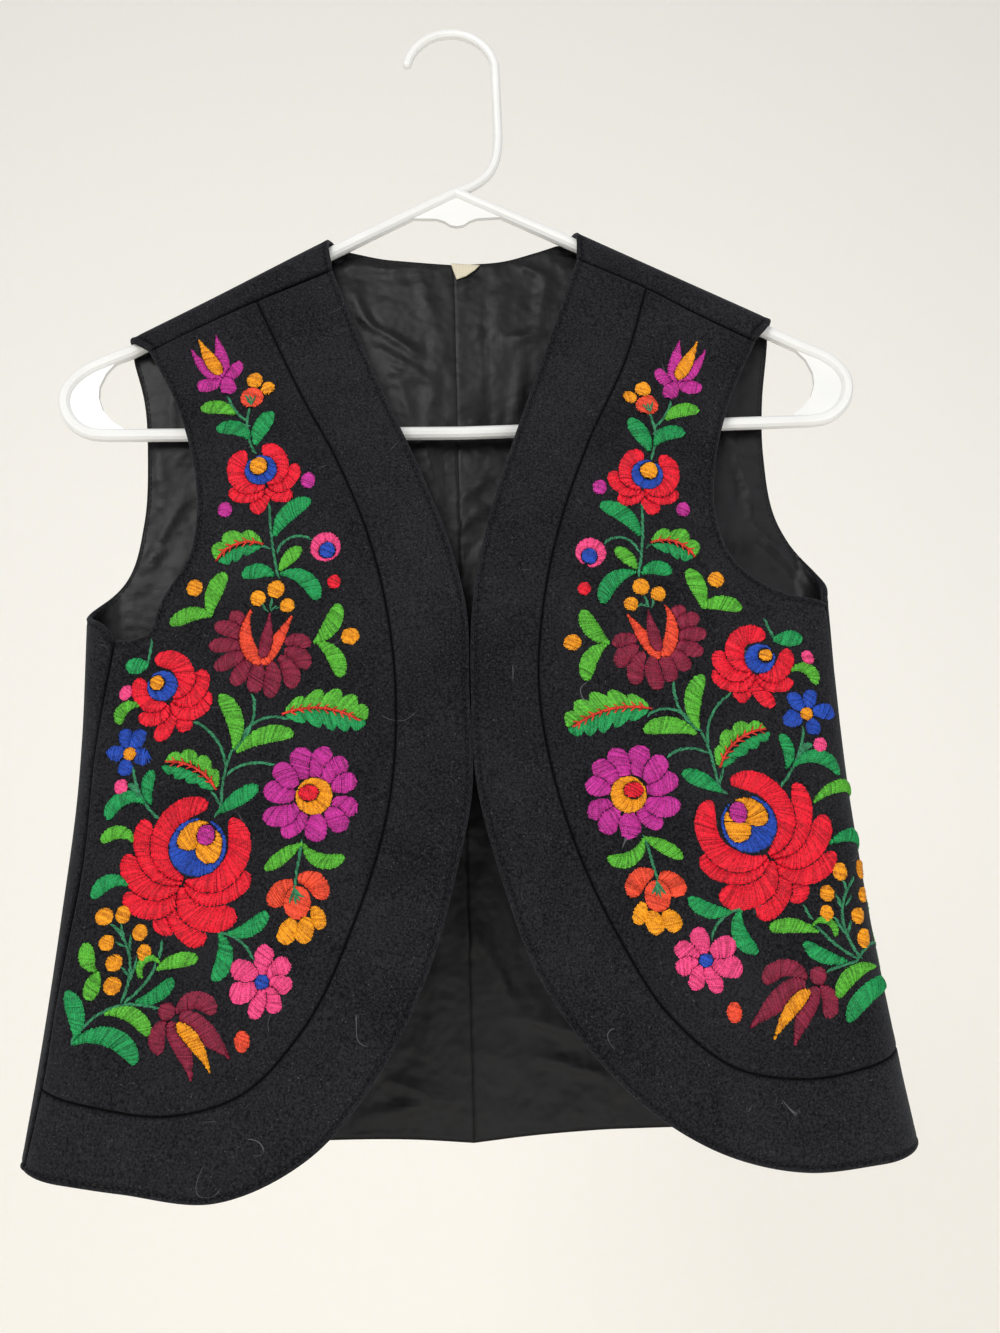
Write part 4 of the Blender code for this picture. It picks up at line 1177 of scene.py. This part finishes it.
def serrated(row):
    """Half of a leaf: stitches from the vein out to a row of rounded lobes."""
    reach = row[7]
    long = row[5]
    lobes = max(round(long / 7.5), 2)
    count = int(long / PITCH * 1.05)
    u = (np.arange(count) + 0.5) / count
    place, heading = spine(row, u)
    full = np.sin(np.pi * np.clip(u * 0.93 + 0.05, 0, 1)) ** 0.55
    lobe = 0.54 + 0.46 * np.abs(np.sin(np.pi * (u * lobes + 0.05))) ** 0.6
    side = heading + np.radians(90 * np.sign(reach)) * 0.72
    out = np.stack([np.cos(side), np.sin(side)], axis=1) * (abs(reach) * full * lobe)[:, None]
    return place, place + out, 0.75


def rope(row):
    """A stem: short overlapping stitches that lean across its line."""
    long = row[5]
    count = max(int(long / 1.15), 2)
    u = (np.arange(count) + 0.5) / count
    place, heading = spine(row, u)
    lean = heading + np.radians(24)
    step = np.stack([np.cos(lean), np.sin(lean)], axis=1) * 1.45
    return place - step, place + step, 0.45


def vein(row):
    """A leaf's red vein: two rows of chain stitch with slanted barbs."""
    long = row[5]
    starts = []
    ends = []
    for side in (-1, 1):
        count = max(int(long / 1.3), 2)
        u = (np.arange(count) + 0.5) / count
        place, heading = spine(row, u)
        for at, angle, size in ((place, 16, 1.5), (place[2:-2:3], 42, 3.6)):
            lean = heading[: len(place)] if angle == 16 else heading[2:-2:3]
            lean = lean + side * np.radians(angle)
            step = np.stack([np.cos(lean), np.sin(lean)], axis=1)
            starts.append(at - step * size * (0.9 if angle == 16 else 0.0))
            ends.append(at + step * size)
    return np.concatenate(starts), np.concatenate(ends), 0.8


MAKERS = {"ring": ring, "serrated": serrated, "stem": rope, "line": rope, "vein": vein}


def gaps(ends):
    """The distance from each stitch's end to the one before."""
    step = np.linalg.norm(np.diff(ends, axis=0, prepend=ends[1:2]), axis=1)
    return np.clip(step * 1.25, 0.3, 0.95)


def trimmed(start, end, wide, covers):
    """Stitches cut back to where no shape sewn over them, with bare cloth round it, covers them."""
    share = np.linspace(0, 1, 25)
    points = start[:, None] + (end - start)[:, None] * share[None, :, None]
    flat = points.reshape(-1, 2)
    bare = np.ones(len(flat), bool)
    for cover in covers:
        low = cover.min(axis=0) - BARE
        close = np.all((flat > low) & (flat < cover.max(axis=0) + BARE), axis=1)
        if close.any():
            inside, near, _ = to_edges(flat[close], cover, np.zeros(len(cover), bool))
            bare[close] &= ~(inside | (near < BARE))
    bare = bare.reshape(len(start), -1)
    run = np.zeros(len(start), int)
    best = np.zeros(len(start), int)
    last = np.zeros(len(start), int)
    for i in range(len(share)):
        run = np.where(bare[:, i], run + 1, 0)
        last = np.where(run > best, i, last)
        best = np.maximum(run, best)
    ends = np.stack([share[np.maximum(last - best + 1, 0)], share[last]], axis=1)
    long = np.linalg.norm(end - start, axis=1) * (ends[:, 1] - ends[:, 0])
    kept = (best > 1) & (long > 0.8)
    cut = [(start + (end - start) * ends[:, i : i + 1])[kept] for i in (0, 1)]
    wide = wide[:, :1] + (wide[:, 1:] - wide[:, :1]) * ends
    return cut[0], cut[1], wide[kept]


def strands(start, end, rise, lift, rng, wide):
    """Each stitch as an arched half-round strip: cut coordinates, height, tone and faces.

    Its middle line rises by rise times the square root of 1 - s squared, with s from
    -1 to 1 along it, and its two edges lie lower than its crown."""
    count = len(start)
    steps = 6
    run = end - start
    long = np.maximum(np.linalg.norm(run, axis=1, keepdims=True), 0.3)
    start = start + run / long * rng.uniform(-0.3, 0.22, (count, 1)) + rng.normal(0, 0.06, start.shape)
    end = end + run / long * rng.uniform(-0.22, 0.3, (count, 1)) + rng.normal(0, 0.06, end.shape)
    run = end - start
    across = np.stack([-run[:, 1], run[:, 0]], axis=1) / long
    s = np.linspace(-1, 1, steps)
    shape = np.sqrt(1 - 0.97 * s**2)
    bow = rng.normal(0, 0.08, (count, 1, 1)) * shape[None, :, None]
    middle = start[:, None] + run[:, None] * (0.5 + 0.5 * s)[None, :, None] + across[:, None] * bow
    size = (wide[:, :1] + (wide[:, 1:] - wide[:, :1]) * (0.5 + 0.5 * s)[None]) / 2
    size = size * rng.uniform(0.92, 1.18, (count, 1)) * (0.7 + 0.3 * shape)[None]
    crown = lift + rise * rng.uniform(0.86, 1.12, (count, 1)) * shape[None] - 0.12 * (1 - shape)[None]
    points = np.stack(
        [middle - across[:, None] * size[..., None], middle, middle + across[:, None] * size[..., None]],
        axis=2,
    )
    height = np.stack([crown - 0.18, crown + 0.14, crown - 0.18], axis=2)
    tone = np.broadcast_to(rng.uniform(0, 1, (count, 1, 1)), height.shape)
    along = np.broadcast_to(((0.5 + 0.5 * s)[None] * long)[..., None], height.shape)
    along = along + np.array([-0.2, 0, 0.2])
    base = np.arange(count)[:, None, None] * steps * 3 + np.arange(steps - 1)[None, :, None] * 3
    base = base + np.arange(2)[None, None, :]
    base = base.ravel()
    faces = np.stack([base, base + 1, base + 4, base + 3], axis=1)
    return points.reshape(-1, 2), height.ravel(), tone.ravel(), along.ravel(), faces


def to_cut(spots):
    """Cut coordinates of places in the photograph, where their sight lines meet the front.

    The depth that a line meets is tried and corrected by half its error, sixty times."""
    sight = EYE_AHEAD + ((spots - EYE_MIDDLE) * (1, -1) / EYE_FOCAL) @ EYE_ACROSS
    deep = np.full(len(spots), -18.0)
    for _ in range(60):
        hit = EYE + (deep - EYE[1])[:, None] / sight[:, 1:2] * sight
        v = np.clip(hit[:, 2], -606, -121)
        flat, radius = flat_and_radius(v)
        over = np.clip((np.abs(hit[:, 0]) - flat) / radius, 0, 1)
        rolled = np.sign(hit[:, 0]) * (flat + radius * np.arcsin(over))
        girth = np.where(np.abs(hit[:, 0]) <= flat, hit[:, 0], rolled)
        cut = np.stack([girth, v], axis=1)
        deep = (deep + place_deep(cut, -1, -FELT / 2)[:, 1]) / 2
    return cut


def bending(a, b):
    """A thin plate's rise at points a for a unit push at each of b: r squared times log r."""
    square = np.sum((a[:, None] - b[None]) ** 2, axis=2)
    return 0.5 * square * np.log(square + 1e-9)


def to_right(spots):
    """Places on the left front moved to the right one by a smooth plate through the pairs."""
    left, right = np.split(np.array(PAIRS, float), 2, axis=1)
    count = len(left)
    system = np.zeros((count + 3, count + 3))
    system[:count, :count] = bending(left, left) + np.eye(count) * STIFF
    system[:count, count:] = np.c_[np.ones(count), left]
    system[count:, :count] = system[:count, count:].T
    push = np.linalg.solve(system, np.concatenate([right, np.zeros((3, 2))]))
    return bending(spots, left) @ push[:count] + push[count] + spots @ push[count + 1 :]


def arc(start, middle, end):
    """Heading, length and bend in degrees of the arc from start to end that bows to the middle."""
    chord = end - start
    long = np.hypot(*chord)
    to_middle = middle - start
    share = np.clip(chord @ to_middle / long**2, 0.15, 0.85)
    bow = (chord[0] * to_middle[1] - chord[1] * to_middle[0]) / long
    bow = np.clip(bow / (4 * share * (1 - share)), -1.2 * long, 1.2 * long)
    half = 2 * np.arctan(2 * bow / long)
    stretch = half / np.sin(half) if abs(half) > 1e-3 else 1
    return np.degrees(np.arctan2(chord[1], chord[0]) + half), long * stretch, -2 * np.degrees(half)


def read_shapes(side):
    """One front's groups of shapes, each: kind, thread, x, z, heading, length, bend, width.

    For a ring: kind, thread, the hole's middle, direction to the rim's middle, rim width,
    hole width, distance to the rim's middle."""
    groups = [(row[0], [row[1:]]) for row in SPRIGS] + list(MOTIFS.values())
    spots = []
    for view, shapes in groups:
        x, y, larger = VIEWS[view]
        for shape in shapes:
            if shape[0] == "ring":
                three = (shape[2], shape[4], shape[2])
            else:
                three = shape[2:5]
            spots += [(x + spot[0] / larger, y + spot[1] / larger) for spot in three]
    spots = np.array(spots)
    beside = [np.linalg.norm(to_cut(spots + step) - to_cut(spots), axis=1) for step in ((4, 0), (0, 4))]
    scale = (beside[0] + beside[1]) / 8
    cut = to_cut(to_right(spots) if side == "right" else spots)
    made = []
    at = 0
    for view, shapes in groups:
        larger = VIEWS[view][2]
        group = []
        for shape in shapes:
            start, middle, end = cut[at : at + 3]
            each = scale[at + (0 if shape[0] == "ring" else 1)] / larger
            at += 3
            if shape[0] == "ring":
                off = middle - start
                turn = np.degrees(np.arctan2(off[1], off[0]))
                reach, wide = shape[5] * each, shape[3] * each
                group.append(("ring", shape[1], *start, turn, reach, wide, np.hypot(*off)))
                continue
            wide = shape[5] * each
            if shape[0] == "serrated" and side == "right":
                wide = -wide
            group.append((shape[0], shape[1], *start, *arc(start, middle, end), wide))
        made.append(group)
    return made


def stitches(row):
    """A shape's stitches, the width of each at both ends, the padding, and the shape's outline."""
    start, end, rise = MAKERS.get(row[0], satin)(row)
    if row[0] in ("stem", "line", "vein"):
        return start, end, np.full((len(start), 2), STRAND), rise, None
    wide = np.stack([gaps(start), gaps(end)], axis=1)
    outline = end if row[0] == "ring" else np.concatenate([start, end[::-1]])
    return start, end, wide, rise, outline


def embroider(side, looks):
    """All the stitches of one front as one piece, its threads as material slots."""
    rng = np.random.default_rng(11 if side == "left" else 23)
    parts = [[], [], [], [], []]
    index = []
    shift = 0
    for group in read_shapes(side):
        sewn = [stitches(row) for row in group]
        for i, row in enumerate(group):
            start, end, wide, rise, _ = sewn[i]
            covers = [
                above[4] for other, above in zip(group[i + 1 :], sewn[i + 1 :])
                if above[4] is not None and not other[1] == row[1] == "orange"
            ]
            if len(covers) > 0:
                start, end, wide = trimmed(start, end, wide, covers)
            if len(start) == 0:
                continue
            lift = 0.35 if row[0] == "vein" or (row[0] == "dot" and len(group) > 1) else 0.0
            if row[0] == "line" and len(group) > 1:
                lift = 1.5
            made = strands(start, end, rise, lift, rng, wide)
            for store, values in zip(parts, made[:4]):
                store.append(values)
            parts[4].append(made[4] + shift)
            shift += len(made[0])
            index += [THREADS.index(row[1])] * len(made[4])
    points, height, tone, along, faces = (np.concatenate(part) for part in parts)
    proud = height + FELT / 2 + soft(points[:, 0], points[:, 1], -1)
    surface = displaced(points, -1, 0.0, proud)
    piece = add_piece("embroidery_" + side, surface, faces.tolist(), looks, index)
    keep_values(piece, "tone", tone)
    keep_values(piece, "along", along)
    return piece


def topstitch(name, lines, look):
    """Running stitches a little inside the free edges, on the felt or on the lining's inside."""
    rng = np.random.default_rng(5)
    surfaces = []
    faces = []
    shift = 0
    for face, line, inward, within in lines:
        line = curve(line, 3.1)
        ahead = np.gradient(line, axis=0)
        ahead /= np.linalg.norm(ahead, axis=1, keepdims=True)
        side = np.stack([-ahead[:, 1], ahead[:, 0]], axis=1) * inward
        line = line + side * (TOPSTITCH if within > 0 else LINING_INSET + 1.3)
        start = line[:-1]
        end = start + (line[1:] - start) * 0.8
        points, height, _, _, made = strands(start, end, 0.28, -0.1, rng, np.full((len(start), 2), 0.5))
        proud = height + FELT / 2 - 0.3
        deep = 0.0
        if within < 0:
            proud = -0.1 - height
            deep = LINING_DEPTH
        proud = proud + soft(points[:, 0], points[:, 1], face)
        surfaces.append(displaced(points, face, deep, proud))
        faces.append(made[:, ::-1] + shift if (within < 0) != (face > 0) else made + shift)
        shift += len(points)
    return add_piece(name, np.concatenate(surfaces), np.concatenate(faces).tolist(), [look])


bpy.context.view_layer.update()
bpy.context.scene.view_settings.view_transform = "Standard"
felt = {
    "front": felt_material("black wool felt", "0b0b0d", "262629"),
    "band": felt_material("black wool felt border", "0c0c0e", "27272a"),
    "back": felt_material("black wool felt back", "0c0c0e", "262629"),
}
lining = satin_material()
halves = {}
cuts = {}
stitched = []
for side, sign in (("left", -1), ("right", 1)):
    lines = front_lines(side)
    panel = [
        (lines["band"], False), (lines["side_high"][::-1], False), (lines["armhole"][::-1], True),
        (lines["arm_shoulder"][::-1], False),
    ]
    cuts["front_" + side] = sewn_panel("felt_front_" + side, panel, -1, felt["front"])
    band = [
        (lines["edge"], True), (lines["side_low"][::-1], False), (lines["band"][::-1], False),
        (lines["neck_shoulder"][::-1], False),
    ]
    cuts["band_" + side] = sewn_panel("felt_band_" + side, band, -1, felt["band"])
    halves[side] = back_half(side, lines)
    stitched.append((-1, rows(FRONT_EDGE[side]), sign, 1))
    stitched.append((-1, rows(FRONT_ARMHOLE[side]), -sign, 1))
whole = halves["right"] + [(line[::-1], is_free) for line, is_free in halves["left"][::-1]]
cuts["back_shell"] = sewn_panel("felt_back", whole, 1, felt["back"])
for side, sign in (("left", -1), ("right", 1)):
    cuts["lining_" + side] = sewn_panel(
        "satin_lining_" + side, lining_lines(halves[side], sign), 1, lining, LINING_DRAWN, LINING_DEPTH,
        "lining", wrinkled, 2,
    )
    stitched.append((1, halves[side][2][0], sign, -1))
    stitched.append((1, halves[side][2][0], sign, 1))
stitched.append((1, rows(BACK_NECK), -1, -1))
stitched.append((1, rows(BACK_HEM), 1, 1))

label, _ = sewn_panel(
    "blank_label", [(rows(LABEL), True)], 1, label_material(), LABEL_DRAWN,
    LINING_DEPTH + LINING_DRAWN / 2 + SEAM_GAP + LABEL_DRAWN / 2, "label",
    lambda points, near: 0.2 * np.sin(points[:, 0] / 2.6),
)
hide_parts("label")
looks = [thread_material(name + " cotton thread", COLOURS[name]) for name in THREADS]
for side in ("left", "right"):
    embroider(side, looks)
topstitch("topstitching", stitched, thread_material("black cotton thread", "101011"))

for node, (piece, outline) in cuts.items():
    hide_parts(node)

hanger = frame["nodes"]["hanger"] if isinstance(frame["nodes"], dict) else bpy.data.objects["hanger"]
plastic = plastic_material()
for slot in hanger.material_slots:
    slot.material = plastic

# The studio: a pale wall far enough behind for a view from the back, and a floor far below.
WALL, FLOOR, CEILING, ASIDE = 1900, -1600, 3200, 3600
wall = paint_material("e9e5dc")
for name, corners in (
    ("backdrop", (
        (-ASIDE, WALL, FLOOR), (ASIDE, WALL, FLOOR), (ASIDE, WALL, CEILING), (-ASIDE, WALL, CEILING),
    )),
    ("floor", (
        (-ASIDE, -ASIDE, FLOOR), (ASIDE, -ASIDE, FLOOR), (ASIDE, WALL, FLOOR), (-ASIDE, WALL, FLOOR),
    )),
):
    mesh = bpy.data.meshes.new(name)
    mesh.from_pydata([tuple(c * MM for c in corner) for corner in corners], [], [(0, 1, 2, 3)])
    mesh.materials.append(wall)
    stage = bpy.data.objects.new(name, mesh)
    bpy.context.scene.collection.objects.link(stage)


def add_light(name, place, aim, size, power, tint):
    data = bpy.data.lights.new(name, "AREA")
    data.shape = "DISK"
    data.size = size
    data.energy = power
    data.color = tint
    light = bpy.data.objects.new(name, data)
    light.location = place
    light.rotation_euler = (Vector(aim) - Vector(place)).to_track_quat("-Z", "Y").to_euler()
    bpy.context.scene.collection.objects.link(light)


add_light("key", (-1.1, -2.4, 0.8), (0, 0, -0.4), 1.6, 52, (1.0, 0.985, 0.96))
add_light("fill", (1.4, -1.5, 0.1), (0, 0, -0.3), 1.8, 12, (0.97, 0.985, 1.0))
add_light("low", (0.1, -1.4, -1.3), (0, 0, -0.35), 1.2, 4.6, (1.0, 0.98, 0.95))
world = bpy.data.worlds.new("soft studio")
world.use_nodes = True
world.node_tree.nodes["Background"].inputs["Color"].default_value = (0.92, 0.94, 1.0, 1)
world.node_tree.nodes["Background"].inputs["Strength"].default_value = 0.43
bpy.context.scene.world = world

camera = bpy.data.cameras.new("camera")
camera.sensor_fit = "HORIZONTAL"
camera.sensor_width = 36.0
camera.lens = 36.0
camera.clip_start = 0.01
view = bpy.data.objects.new("camera", camera)
turned = Matrix(np.stack([*EYE_ACROSS, -EYE_AHEAD], axis=1).tolist())
view.matrix_world = Matrix.Translation(EYE * MM) @ turned.to_4x4()
bpy.context.scene.collection.objects.link(view)
bpy.context.scene.camera = view
